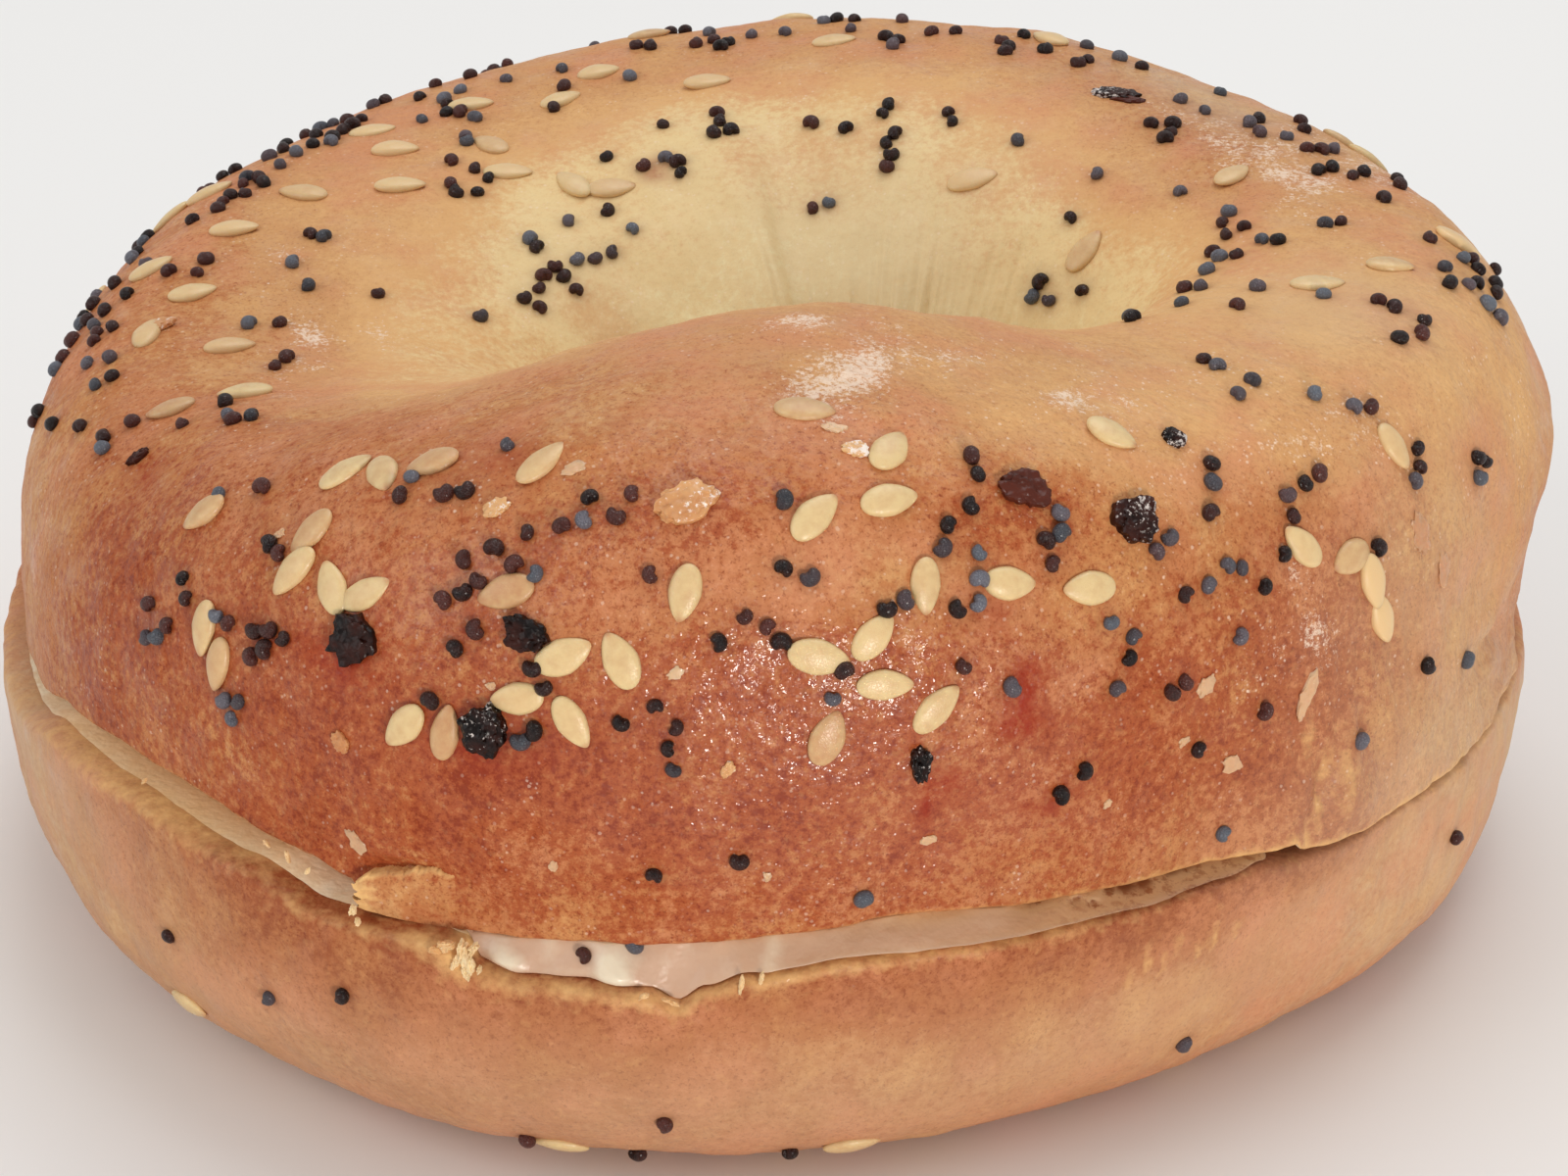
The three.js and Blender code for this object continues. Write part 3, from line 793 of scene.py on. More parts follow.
class Wiring:
    """Short ways to place and join the nodes of one material or group."""

    def __init__(self, tree: NodeTree) -> None:
        """Starts on an empty node tree."""
        self.tree = tree
        tree.nodes.clear()

    def node(
        self, kind: str, inputs: dict[str | int, object] | None = None, **settings: object
    ) -> bpy.types.Node:
        """Places a node.

        Args:
            kind: Its type, without the ShaderNode in front.
            inputs: Values, or sockets to join, by the name or number of the input.
            **settings: Its own settings.

        Returns:
            The node.
        """
        made = self.tree.nodes.new(f"ShaderNode{kind}")
        for name, value in settings.items():
            setattr(made, name, value)
        for key, value in (inputs or {}).items():
            if isinstance(value, Socket):
                self.tree.links.new(value, made.inputs[key])
            else:
                made.inputs[key].default_value = value
        return made

    def attribute(self, name: str) -> Socket:
        """A vertex mask of the piece."""
        return self.node("Attribute", attribute_name=name).outputs["Fac"]

    def math(self, operation: str, a: object, b: object, clamp: bool = False) -> Socket:
        """A sum of two numbers or sockets."""
        return self.node("Math", {0: a, 1: b}, operation=operation, use_clamp=clamp).outputs[0]

    def plus(self, a: object, b: object, clamp: bool = False) -> Socket:
        """One number and another."""
        return self.math("ADD", a, b, clamp)

    def times(self, a: object, b: object) -> Socket:
        """One number times another."""
        return self.math("MULTIPLY", a, b)

    def where(self) -> Socket:
        """The place in the frame's own space."""
        return self.node("TexCoord").outputs["Object"]

    def noise(self, scale: float, detail: float = 3.0, rough: float = 0.55) -> Socket:
        """Noise from 0 to 1, with lumps of one over scale metres."""
        inputs = {"Vector": self.where(), "Scale": scale, "Detail": detail, "Roughness": rough}
        return self.node("TexNoise", inputs).outputs["Fac"]

    def swing(self, reach: float, scale: float, detail: float = 3.0, rough: float = 0.55) -> Socket:
        """Noise from minus to plus a reach."""
        return self.fit(self.noise(scale, detail, rough), 0.3, 0.7, -reach, reach)

    def cells(self, scale: object, **settings: object) -> bpy.types.Node:
        """A net of cells of one over scale metres."""
        return self.node("TexVoronoi", {"Vector": self.where(), "Scale": scale}, **settings)

    def effect(self, group: NodeTree, **values: object) -> Socket:
        """What a shared group puts out, for the material's own values."""
        return self.node("Group", values, node_tree=group).outputs[0]

    def fit(
        self, value: Socket, low: float, high: float, start: float = 0.0, end: float = 1.0
    ) -> Socket:
        """A value spread from the range low to high over start to end, and held inside it."""
        return self.node("MapRange", {"Value": value, 1: low, 2: high, 3: start, 4: end}).outputs[0]

    def mix(self, share: object, a: object, b: object) -> Socket:
        """A colour between two others."""
        return self.node("Mix", {0: share, 6: a, 7: b}, data_type="RGBA").outputs[2]

    def tint(self, base: Socket, share: object, colour: Colour) -> Socket:
        """A colour turned towards another."""
        return self.mix(share, base, linear(colour))

    def ramp(self, value: Socket, stops: Sequence[tuple[float, Colour]]) -> Socket:
        """A colour by a value.

        Args:
            value: What it goes by.
            stops: Places from 0 to 1 and their colours.

        Returns:
            The colour.
        """
        made = self.node("ValToRGB", {"Fac": value})
        band = made.color_ramp
        band.interpolation = "EASE"
        while len(band.elements) < len(stops):
            band.elements.new(0.5)
        for element, (place, colour) in zip(band.elements, stops):
            element.position = place
            element.color = linear(colour)
        return made.outputs["Color"]

    def bump(self, height: Socket, depth: float) -> Socket:
        """A normal from a height of 0 to 1, with its depth in millimetres."""
        inputs = {"Height": height, "Distance": depth * MM, "Strength": 1.0}
        return self.node("Bump", inputs).outputs["Normal"]


class EffectGroups:
    """The shader node groups that several materials share, each built once."""

    @staticmethod
    def _start(name: str, inputs: dict[str, float]) -> tuple[Wiring, bpy.types.NodeOutputs]:
        """Starts a group.

        Args:
            name: What it is called.
            inputs: Its number inputs and their usual values.

        Returns:
            Its wiring, and the sockets that bring its inputs in.
        """
        tree = bpy.data.node_groups.new(name, "ShaderNodeTree")
        new_socket = tree.interface.new_socket
        for label, value in inputs.items():
            port = new_socket(name=label, in_out="INPUT", socket_type="NodeSocketFloat")
            port.default_value = value
        wiring = Wiring(tree)
        return wiring, tree.nodes.new("NodeGroupInput").outputs

    @staticmethod
    def _end(wiring: Wiring, label: str, value: Socket) -> NodeTree:
        """Ends a group in one number output.

        Args:
            wiring: The group's.
            label: What the output is called.
            value: What it puts out.

        Returns:
            The group.
        """
        tree = wiring.tree
        tree.interface.new_socket(name=label, in_out="OUTPUT", socket_type="NodeSocketFloat")
        tree.links.new(value, tree.nodes.new("NodeGroupOutput").inputs[label])
        return tree

    @staticmethod
    @cache
    def mottle() -> NodeTree:
        """Uneven tone round 0: blotches, freckles and fine speckle.

        Returns:
            The group, with the output Tone.
        """
        w, given = EffectGroups._start("mottle", {"Blotches": 0.2, "Freckles": 0.2, "Speckle": 0.1})
        total: object = 0.0
        for label, scale, detail in (
            ("Blotches", 230.0, 3.0), ("Freckles", 1900.0, 3.0), ("Speckle", 8500.0, 2.0),
        ):
            centred = w.math("SUBTRACT", w.noise(scale, detail, 0.6), 0.5)
            total = w.plus(w.times(centred, given[label]), total)
        return EffectGroups._end(w, "Tone", total)

    @staticmethod
    @cache
    def pores() -> NodeTree:
        """A fine leathery or porous surface.

        Returns:
            The group, with the output Height.
        """
        usual = {"Pebbles": 1.0, "Grit": 0.5, "Folds": 0.0, "Size": 1400.0}
        w, given = EffectGroups._start("pores", usual)
        pebbles = w.times(w.cells(given["Size"]).outputs["Distance"], given["Pebbles"])
        grit = w.times(w.noise(2000.0, 1.5, 0.6), given["Grit"])
        folds = w.times(w.noise(640.0, 2.0, 0.5), given["Folds"])
        return EffectGroups._end(w, "Height", w.plus(w.plus(pebbles, grit), folds))

    @staticmethod
    @cache
    def dusting() -> NodeTree:
        """Where a thin dusting has settled, in a powder and in single grains.

        Returns:
            The group, with the output Mask for the Amount that fell there.
        """
        w, given = EffectGroups._start("dusting", {"Amount": 0.0})
        amount = given["Amount"]
        fine, broad = w.noise(3000.0, 4.0, 0.8), w.noise(260.0, 3.0, 0.6)
        level = w.plus(w.plus(w.times(fine, 0.6), w.times(broad, 0.4)), w.times(amount, 0.28))
        powder = w.times(w.fit(level, 0.7, 0.78), w.fit(amount, 0.0, 0.25))
        grains = w.cells(3000.0)
        size = w.fit(grains.outputs["Color"], 0.45, 0.85, 0.0, 0.36)
        ragged = w.plus(grains.outputs["Distance"], w.fit(fine, 0.3, 0.7, 0.12, -0.12))
        dots = w.fit(w.math("SUBTRACT", size, ragged), 0.0, 0.12)
        dots = w.times(dots, w.fit(broad, 0.44, 0.6, 0.12, 1.0))
        dots = w.times(dots, w.fit(amount, 0.05, 0.4, 0.0, 0.95))
        return EffectGroups._end(w, "Mask", w.math("MAXIMUM", powder, dots))


@dataclass(frozen=True)
class Finish:
    """A finish that ends in a Principled shader, whose inputs each kind of finish wires."""

    name: str

    def build(self) -> Material:
        """Builds the material.

        Returns:
            The material, with nodes.
        """
        material = bpy.data.materials.new(self.name)
        material.use_nodes = True
        w = Wiring(material.node_tree)
        shader = w.node("BsdfPrincipled", self.wire(w))
        w.node("OutputMaterial", {"Surface": shader.outputs[0]})
        return material

    def wire(self, w: Wiring) -> dict[str, object]:
        """Values or sockets for the shader's inputs, by name."""
        raise NotImplementedError(self.name)


@dataclass(frozen=True)
class CrustFinish(Finish):
    """Baked skin, from pale dough to deep chestnut, with flour, stains and egg-wash gloss."""

    name: str = "baked_crust"
    tones: tuple[tuple[float, Colour], ...] = (
        (0, (243, 230, 180)), (0.18, (231, 201, 146)), (0.36, (218, 168, 112)),
        (0.54, (203, 148, 97)), (0.72, (185, 117, 70)), (0.88, (164, 82, 44)), (1, (136, 54, 27)),
    )
    # Grey patches: mostly the crust's own tone, and in the hole partly painted shade.
    grey: Colour = (212, 194, 158)
    flour: Colour = (244, 222, 200)
    blush: Colour = (208, 134, 98)
    honey: Colour = (234, 188, 120)
    stain: Colour = (146, 30, 2)
    speck: Colour = (126, 46, 14)
    # Painted contact shadow: the crust darkened round each topping.
    seat_shadow: Colour = (134, 58, 26)
    torn: Colour = (232, 186, 122)
    relief_depth: float = 0.068  # of its pores and folds, in millimetres
    wet_depth: float = 0.3  # of the waves in its egg wash, in millimetres
    wet_scale: float = 800.0  # of those waves, one over metres
    gloss_scale: float = 420.0  # of the patches where it shines more or less
    blotch_scale: float = 150.0  # of its blushes and honey tones
    speck_scale: float = 4600.0
    stain_scale: float = 500.0
    torn_scale: float = 1300.0
    dusty: float = 0.2  # how much flour dusts it everywhere
    contrast: float = 1.6  # of its mottling where it baked dark

    def _colour(self, w: Wiring) -> Socket:
        """Its colour.

        Args:
            w: The material's wiring.

        Returns:
            The colour.
        """
        mottle = w.effect(EffectGroups.mottle(), Blotches=0.22, Freckles=0.34, Speckle=0.14)
        depth = w.fit(w.attribute("bake"), 0.42, 0.8, 0.8, self.contrast)
        bake = w.plus(w.attribute("bake"), w.times(mottle, depth), clamp=True)
        colour = w.ramp(bake, self.tones)
        blotches = w.noise(self.blotch_scale)
        golden = w.times(w.fit(bake, 0.22, 0.42), w.fit(bake, 0.86, 0.66))
        specks = w.fit(w.noise(self.speck_scale, 3.0, 0.7), 0.54, 0.68)
        stains = w.fit(w.noise(self.stain_scale, 4.0), 0.3, 0.6, 0.35, 1.0)
        ragged = w.plus(w.attribute("torn"), w.swing(0.22, self.torn_scale))
        amount = w.math("MAXIMUM", w.attribute("flour"), self.dusty)
        dust = w.effect(EffectGroups.dusting(), Amount=amount)
        for share, other in (
            (w.times(w.fit(blotches, 0.46, 0.64, 0.0, 0.5), golden), self.blush),
            (w.times(w.fit(blotches, 0.46, 0.3, 0.0, 0.22), golden), self.honey),
            (w.times(specks, w.fit(bake, 0.35, 0.85, 0.1, 0.8)), self.speck),
            (w.times(w.attribute("grey"), 0.72), self.grey),
            # The painted contact shadow round the toppings.
            (w.times(w.attribute("seat_shadow"), 0.3), self.seat_shadow),
            (w.times(w.attribute("stain"), stains), self.stain),
            (w.fit(ragged, 0.12, 0.95, 0.0, 0.9), self.torn),
            (w.times(dust, 0.75), self.flour),
        ):
            colour = w.tint(colour, share, other)
        return colour

    def wire(self, w: Wiring) -> dict[str, object]:
        """Wires the crust.

        Args:
            w: The material's wiring.

        Returns:
            The shader's inputs.
        """
        pores = w.effect(EffectGroups.pores(), Pebbles=0.8, Grit=1.9, Folds=2.4, Size=1300.0)
        relief = w.times(pores, w.fit(w.attribute("bake"), 0.15, 0.6, 0.25, 1.0))
        shine = w.plus(w.attribute("gloss"), w.swing(0.35, self.gloss_scale))
        unstained = w.fit(w.attribute("stain"), 0.0, 1.0, 1.0, 0.4)
        return {
            "Base Color": self._colour(w),
            "Roughness": w.fit(shine, 0.1, 0.8, 0.5, 0.38),
            "Specular IOR Level": 0.14,
            "Coat Weight": w.times(w.fit(shine, -0.05, 0.85, 0.0, 0.6), unstained),
            "Coat Roughness": 0.14,
            "Coat Normal": w.bump(w.noise(self.wet_scale, 3.0, 0.6), self.wet_depth),
            "Normal": w.bump(relief, self.relief_depth),
        }


@dataclass(frozen=True)
class CrumbFinish(Finish):
    """The torn and cut inside of the bread, moist where the spread has smeared it."""

    name: str = "bread_crumb"
    pale: Colour = (255, 240, 212)
    shade: Colour = (240, 212, 174)
    smear: Colour = (252, 222, 202)
    torn: Colour = (238, 200, 140)
    hole_scale: float = 620.0  # one over metres
    depth: float = 0.06  # of its pores, in millimetres

    def wire(self, w: Wiring) -> dict[str, object]:
        """Wires the crumb.

        Args:
            w: The material's wiring.

        Returns:
            The shader's inputs.
        """
        holes = w.fit(w.noise(self.hole_scale, 4.0, 0.65), 0.38, 0.6)
        colour = w.mix(holes, linear(self.shade), linear(self.pale))
        colour = w.tint(colour, w.times(w.attribute("smear"), 0.8), self.smear)
        pores = w.effect(EffectGroups.pores(), Pebbles=0.1, Grit=1.4, Folds=1.0)
        return {
            "Base Color": w.tint(colour, w.attribute("torn"), self.torn),
            "Roughness": w.fit(w.attribute("smear"), 0.0, 1.0, 0.7, 0.35),
            "Normal": w.bump(pores, self.depth),
        }


@dataclass(frozen=True)
class SpreadFinish(Finish):
    """Cream cheese: moist, faintly pink and grey where it is thin, that grey partly painted shade
    in the gap between the halves; worn off the crumb in places, with painted shade in the crumb's
    pores and hollows.
    """

    name: str = "cream_cheese"
    thick: Colour = (224, 208, 182)
    # Where it is thin the crumb shows through, and its grey is partly painted shade in the gap
    # between the halves.
    thin_and_shaded: Colour = (200, 163, 136)
    crumb: Colour = (198, 152, 108)
    # Painted shade in the crumb's pores and in the hollows where the spread sinks.
    hollow_shade: Colour = (152, 92, 54)
    cloud_scale: float = 620.0  # one over metres
    hole_scale: float = 1500.0
    depth: float = 0.05  # of its pores, in millimetres

    def wire(self, w: Wiring) -> dict[str, object]:
        """Wires the spread.

        Args:
            w: The material's wiring.

        Returns:
            The shader's inputs.
        """
        # Thick white dabs against the thinner spread, whose grey is partly painted shade.
        thick = w.fit(w.plus(w.attribute("blob"), w.swing(0.25, self.cloud_scale)), 0.12, 0.95)
        spread = w.mix(thick, linear(self.thin_and_shaded), linear(self.thick))
        bread = w.attribute("bread")
        # The crumb's pores, and the hollows where the bread mask passes 0.55, are painted dark as
        # painted shade.
        holes = w.fit(w.noise(self.hole_scale, 4.0, 0.7), 0.51, 0.6)
        holes = w.times(holes, w.fit(bread, 0.3, 0.6))
        crumb = w.mix(holes, linear(self.crumb), linear(self.hollow_shade))
        crumb = w.tint(crumb, w.fit(bread, 0.55, 0.9), self.hollow_shade)
        pores = w.effect(EffectGroups.pores(), Pebbles=0.5, Grit=1.0, Size=900.0)
        return {
            "Base Color": w.mix(w.fit(bread, 0.05, 0.4), spread, crumb),
            "Roughness": w.fit(bread, 0.0, 0.5, 0.3, 0.5),
            "Subsurface Weight": 0.15,
            "Subsurface Radius": (1.0, 0.8, 0.6),
            "Subsurface Scale": 1.5 * MM,
            "Normal": w.bump(pores, self.depth),
        }


@dataclass(frozen=True)
class ToppingFinish(Finish):
    """What the finishes of all toppings have."""

    dark: Colour
    light: Colour
    frost: Colour
    rough: float
    depth: float  # of its fine relief, in millimetres
    glow: float = 0.0  # how much light passes into it
    shine: float = 0.5  # how strongly it mirrors the light

    def body(self, w: Wiring, colour: Socket, height: Socket) -> dict[str, object]:
        """The shader's inputs for a topping.

        Args:
            w: The material's wiring.
            colour: Its colour.
            height: Its fine relief, 0 to 1.

        Returns:
            The inputs.
        """
        return {
            "Base Color": colour,
            "Roughness": self.rough,
            "Specular IOR Level": self.shine,
            "Subsurface Weight": self.glow,
            "Subsurface Radius": (1.0, 0.6, 0.35),
            "Subsurface Scale": 0.8 * MM,
            "Normal": w.bump(height, self.depth),
        }


@dataclass(frozen=True)
class SeedFinish(ToppingFinish):
    """A seed's skin, lighter or darker from seed to seed by its tone mask."""

    cell_scale: float = 6000.0  # of the net or grooves on its skin, one over metres
    net: float = 0.0  # how much that net shows in its colour

    def wire(self, w: Wiring) -> dict[str, object]:
        """Wires the seeds.

        Args:
            w: The material's wiring.

        Returns:
            The shader's inputs.
        """
        net = w.cells(self.cell_scale, feature="DISTANCE_TO_EDGE")
        ribs = w.math("SUBTRACT", 1.0, w.fit(net.outputs["Distance"], 0.0, 0.16))
        tone = w.plus(w.attribute("tone"), w.swing(0.2, 1800.0), clamp=True)
        colour = w.mix(tone, linear(self.dark), linear(self.light))
        colour = w.tint(colour, w.attribute("frost"), self.frost)
        return self.body(w, w.tint(colour, w.times(ribs, self.net), self.light), ribs)


@dataclass(frozen=True)
class ChipFinish(ToppingFinish):
    """A dry chip, such as burnt onion, garlic or salt, with pale frosting where the mask says."""

    def wire(self, w: Wiring) -> dict[str, object]:
        """Wires the chips.

        Args:
            w: The material's wiring.

        Returns:
            The shader's inputs.
        """
        tone = w.plus(w.attribute("tone"), w.swing(0.3, 700.0, 4.0, 0.65), clamp=True)
        colour = w.mix(tone, linear(self.dark), linear(self.light))
        frosting = w.fit(w.noise(3200.0, 3.0, 0.7), 0.2, 0.8, -0.9, 0.5)
        frosted = w.fit(w.plus(w.attribute("frost"), frosting), 0.3, 0.5)
        pores = w.effect(EffectGroups.pores(), Pebbles=1.0, Grit=1.0, Size=1600.0)
        return self.body(w, w.tint(colour, frosted, self.frost), pores)


@dataclass(frozen=True)
class FloorFinish(Finish):
    """A plain pale surface under the food."""

    name: str = "pale_floor"
    colour: Colour = (240, 239, 237)

    def wire(self, w: Wiring) -> dict[str, object]:
        """The floor's one colour, dull all over."""
        return {"Base Color": linear(self.colour), "Roughness": 0.9}


# ---- Seats on the crust ----


@dataclass
class Seat:
    """A place for a topping: its middle, and its axes along, across and out of the crust."""

    matrix: Matrix
    clear: float
    glaze: float = 0.0  # how much crust colour a seed there has taken on

    @classmethod
    def on(cls, point: Array, along: Vector, out: Vector, clear: float = 0.0) -> Seat:
        """A seat at a point.

        Args:
            point: The point on the crust.
            along: The topping's length.
            out: Away from the crust.
            clear: How much room it keeps round it.

        Returns:
            The seat.
        """
        matrix = Matrix((along, out.cross(along), out)).transposed().to_4x4()
        matrix.translation = Vector(point)
        return cls(matrix, clear)

    @property
    def middle(self) -> Vector:
        """The point on the crust."""
        return self.matrix.to_translation()

    def put(self, points: Array) -> Array:
        """A topping's own points, put in the seat."""
        matrix = np.array(self.matrix)
        return points @ matrix[:3, :3].T + matrix[:3, 3]


@dataclass
class Crust:
    """The dough with its skin: where its surface really is."""

    dough: Dough = Dough()
    skin: Skin = Skin()
    sight: Pair = (0.45, 0.89)  # back and up, for what looks upright in front

    def surface(self, half: Half, azimuth: Array, roll: Array) -> tuple[Array, Array]:
        """Points and outward normals of the crust with its fine relief.

        Args:
            half: The half whose crust it is.
            azimuth: Azimuths, one row.
            roll: Rolls, as many.

        Returns:
            The points in millimetres, and the normals of the smooth form under them.
        """
        points = self.dough.point(half, azimuth, roll)
        normals = self.dough.axes(half, azimuth, roll)[2]
        rise = self.skin.rise(points, azimuth, roll)
        return points + normals * rise[:, None], normals

    def seat(
        self, half: Half, azimuth: float, roll: float, heading: float, clear: float = 0.0
    ) -> Seat:
        """A topping's seat, turned so that its length follows a heading seen from the front.

        Args:
            half: The half that it lies on.
            azimuth: Degrees.
            roll: Degrees.
            heading: Where its length points: 0 to the right and 90 up.
            clear: How much room it keeps round it.

        Returns:
            The seat.
        """
        points, normals = self.surface(half, np.array([float(azimuth)]), np.array([float(roll)]))
        normal = Vector(normals[0])
        across, up = math.cos(math.radians(heading)), math.sin(math.radians(heading))
        sight = Vector((across, self.sight[0] * up, self.sight[1] * up))
        along = (sight - normal * sight.dot(normal)).normalized()
        return Seat.on(points[0], along, normal, clear)


# ---- The bread ----


@dataclass
class BreadHalf:
    """One half of the sliced ring, crust and cut face in one closed mesh."""

    half: Half
    node: str
    slot: str
    crust: Crust
    bake: Bake = Bake()
    loops: int = 640
    crust_steps: int = 122
    face_steps: int = 22
    ragged: Rows = ((6.0, 0.12), (1.4, 0.14))  # of the knife's cut
    ragged_reach: float = 0.7
    crumb_hole: float = 2.4
    crumb_depth: float = 0.08
    moist: Rows = ((278, 20, 1), (222, 14, 0.8))  # azimuth, width and share of the smears
    # How far the painted contact shadow reaches round a topping, in millimetres.
    seat_shadow_reach: float = 0.75
    lips: Rim = Rim(((20, 0.4), (190, 0.4), (300, 0.4)))  # how torn its cut edge is
    lip_width: float = 0.4
    softening: int = 2  # how rounded its cut edge is
    torn: tuple[Patch, ...] = ()  # where its skin is torn off besides
    hard: float = 55.0  # the angle past which an edge stays hard

    @property
    def top(self) -> bool:
        """Whether it is the top half."""
        return self.half is Half.TOP

    def _corner(self, rings: Array) -> Array:
        """The points of the cut edge at the rim, one to a loop."""
        return rings[:, [0 if self.top else self.crust_steps]]

    @staticmethod
    def _crowded(steps: int, crowd: Callable[[Array], Array]) -> Array:
        """Steps from 0 to 1, closer together in places.

        Args:
            steps: How many there are.
            crowd: How closely they follow at each share of the way.

        Returns:
            The shares.
        """
        fine = np.linspace(0.0, 1.0, 2001)
        total = np.concatenate([[0.0], np.cumsum(crowd((fine[1:] + fine[:-1]) / 2.0))])
        return np.interp(np.linspace(0.0, 1.0, steps + 1), total / total[-1], fine)

    def _shares(self) -> Array:
        """Steps over the crust, close together at its cut edges."""
        shares = self._crowded(
            self.crust_steps, lambda t: 1 + 2.4 * np.exp(-t / 0.03) + 0.4 * np.exp((t - 1) / 0.03)
        )
        return shares if self.top else 1.0 - shares[::-1]

    def build(
        self, seats: Sequence[Seat], finishes: Sequence[Material]
    ) -> Object:
        """Builds the half.

        Args:
            seats: The toppings on it, round which its crust is darkened as a painted contact
                shadow.
            finishes: The crust's material and the crumb's.

        Returns:
            The object, standing for its frame node.
        """
        dough = self.crust.dough
        azimuth = np.linspace(0.0, 360.0, self.loops, endpoint=False)
        section = dough.section(azimuth)
        rim = dough.cut_roll(self.half, section, dough.rim_rolls)
        hole = dough.cut_roll(self.half, section, dough.hole_rolls)
        start, end = (rim, hole) if self.top else (hole, rim + 360.0)
        rolls = start[:, None] + (end - start)[:, None] * self._shares()
        turns = np.broadcast_to(azimuth[:, None], rolls.shape)
        points, _ = self.crust.surface(self.half, turns.ravel(), rolls.ravel())
        crust = self._trim(points.reshape(*rolls.shape, 3), azimuth)
        rings = self._soften(np.concatenate([crust, self._face(crust, azimuth)], 1))
        size = rings.shape[1]
        step = np.arange(self.loops * size) % size
        rolls = np.pad(rolls, ((0, 0), (0, self.face_steps)), "edge").ravel()
        turns = np.repeat(azimuth, size)
        smear = sum(share * bell(turn(middle, turns) / wide) for middle, wide, share in self.moist)
        masks = self.bake.masks(self.half, turns, rolls)
        # The painted contact shadow round the toppings on this half.
        masks["seat_shadow"] = self._seat_shadow(rings.reshape(-1, 3), seats)
        masks["smear"] = np.where(step > self.crust_steps, np.clip(smear, 0.0, 1.0), 0.0)
        masks["torn"] = self._lips(rings, self._corner(crust), azimuth)
        for mark in self.torn:
            worn = mark.tone * mark.weight(turns, rolls % 360.0)
            masks["torn"] = np.maximum(masks["torn"], worn)
        faces = ring_faces(self.loops, size)
        mould = Mould(f"{self.node}_bread")
        mould.add(rings.reshape(-1, 3), faces[step < self.crust_steps], masks)
        mould.cover(faces[step >= self.crust_steps], slot=1)
        return mould.cast(finishes, self.slot, self.node, self.hard)

    def _soften(self, rings: Array) -> Array:
        """Rounds the cut edge at the rim.

        Args:
            rings: The half's loops of points.

        Returns:
            The loops, rounded.
        """
        corner = self._corner(rings)
        for _ in range(self.softening):
            away = np.linalg.norm(rings - corner, axis=-1)
            share = 0.8 * np.exp(-np.square(away))[..., None]
            middle = (np.roll(rings, 1, 1) + np.roll(rings, -1, 1)) / 2.0
            rings = rings + share * (middle - rings)
        return rings

    def _trim(self, points: Array, azimuth: Array) -> Array:
        """Roughens the cut edge as a bread knife leaves it.

        Args:
            points: The crust, from one cut edge to the other.
            azimuth: Azimuth of each loop.

        Returns:
            The crust's points.
        """
        spots = ring_spots(azimuth, self.crust.dough.reach)
        wobble = sum(depth * grain(spots, size, 2, 31.0 + size) for size, depth in self.ragged)
        lift = np.abs(wobble) if self.top else -np.abs(wobble)
        away = np.linalg.norm(points - self._corner(points), axis=-1)
        points = points.copy()
        points[..., 2] += np.exp(-away / self.ragged_reach) * lift[:, None]
        return points

    def _face(self, points: Array, azimuth: Array) -> Array:
        """The cut face, with the crumb's open holes.

        Args:
            points: The crust, from one cut edge to the other.
            azimuth: Azimuth of each loop.

        Returns:
            The face's points.
        """
        dough = self.crust.dough
        share = self._crowded(self.face_steps + 1, lambda t: 1 + 14 * np.exp((t - 1) / 0.08))[1:-1]
        section = dough.section(azimuth[:, None])
        ends = points[:, [-1, 0], :2] - np.stack(section.inner, -1)
        side = np.sign((ends * np.stack(section.outwards, -1)).sum(-1))
        across = np.hypot(ends[..., 0], ends[..., 1]) * side
        spread = across[:, :1] + (across[:, 1:] - across[:, :1]) * share
        flat = section.place(spread, dough.cut_face(self.half, section, spread / section.width))
        holes = 1.3 * np.abs(grain(flat.reshape(-1, 3), self.crumb_hole, 3, 41.0))
        edges = np.clip(25.0 * np.minimum(share, 1.0 - share), 0.15, 1.0)
        depth = self.crumb_depth if self.top else -self.crumb_depth
        flat[..., 2] += depth * holes.reshape(spread.shape) * edges
        return flat

    def _seat_shadow(self, points: Array, seats: Sequence[Seat]) -> Array:
        """How close each point is to a topping, which sets the strength of the painted contact
        shadow.

        Args:
            points: The half's points.
            seats: The toppings on it.

        Returns:
            1 at a topping's middle, and less away from it.
        """
        if not seats:
            return np.zeros(len(points))
        tree = kdtree.KDTree(len(seats))
        for index, seat in enumerate(seats):
            tree.insert(seat.middle, index)
        tree.balance()
        gaps = np.fromiter((tree.find(row)[2] for row in points.tolist()), float, len(points))
        return np.exp(-np.square(gaps / self.seat_shadow_reach))

    def _lips(self, rings: Array, corner: Array, azimuth: Array) -> Array:
        """The thin pale line where the crust was cut through.

        Args:
            rings: The half's loops of points.
            corner: The cut edge before it was rounded, one point to a loop.
            azimuth: Azimuth of each loop.

        Returns:
            How pale each point is, 0 to 1.
        """
        away = np.linalg.norm(rings - corner, axis=-1)
        uneven = 0.75 + 0.45 * grain(ring_spots(azimuth, self.crust.dough.reach), 3.0, 3, 51.0)
        strength = self.lips.at(azimuth)
        width = self.lip_width * np.clip(uneven * (0.4 + strength), 0.2, 2.0)
        lip = np.clip(strength, 0, 1)[:, None] * np.exp(-((away / width[:, None]) ** 1.6))
        return lip.ravel()


@dataclass(frozen=True)
class Blob:
    """A thick white dab in the spread: its azimuth and level, its widths there, and its rise."""

    azimuth: float
    level: float
    wide: float
    tall: float
    rise: float

    def at(self, azimuth: Array, level: Array) -> Array:
        """How high it stands at each place."""
        along = bell(turn(self.azimuth, azimuth) / self.wide)
        return self.rise * along * bell((level - self.level) / self.tall)


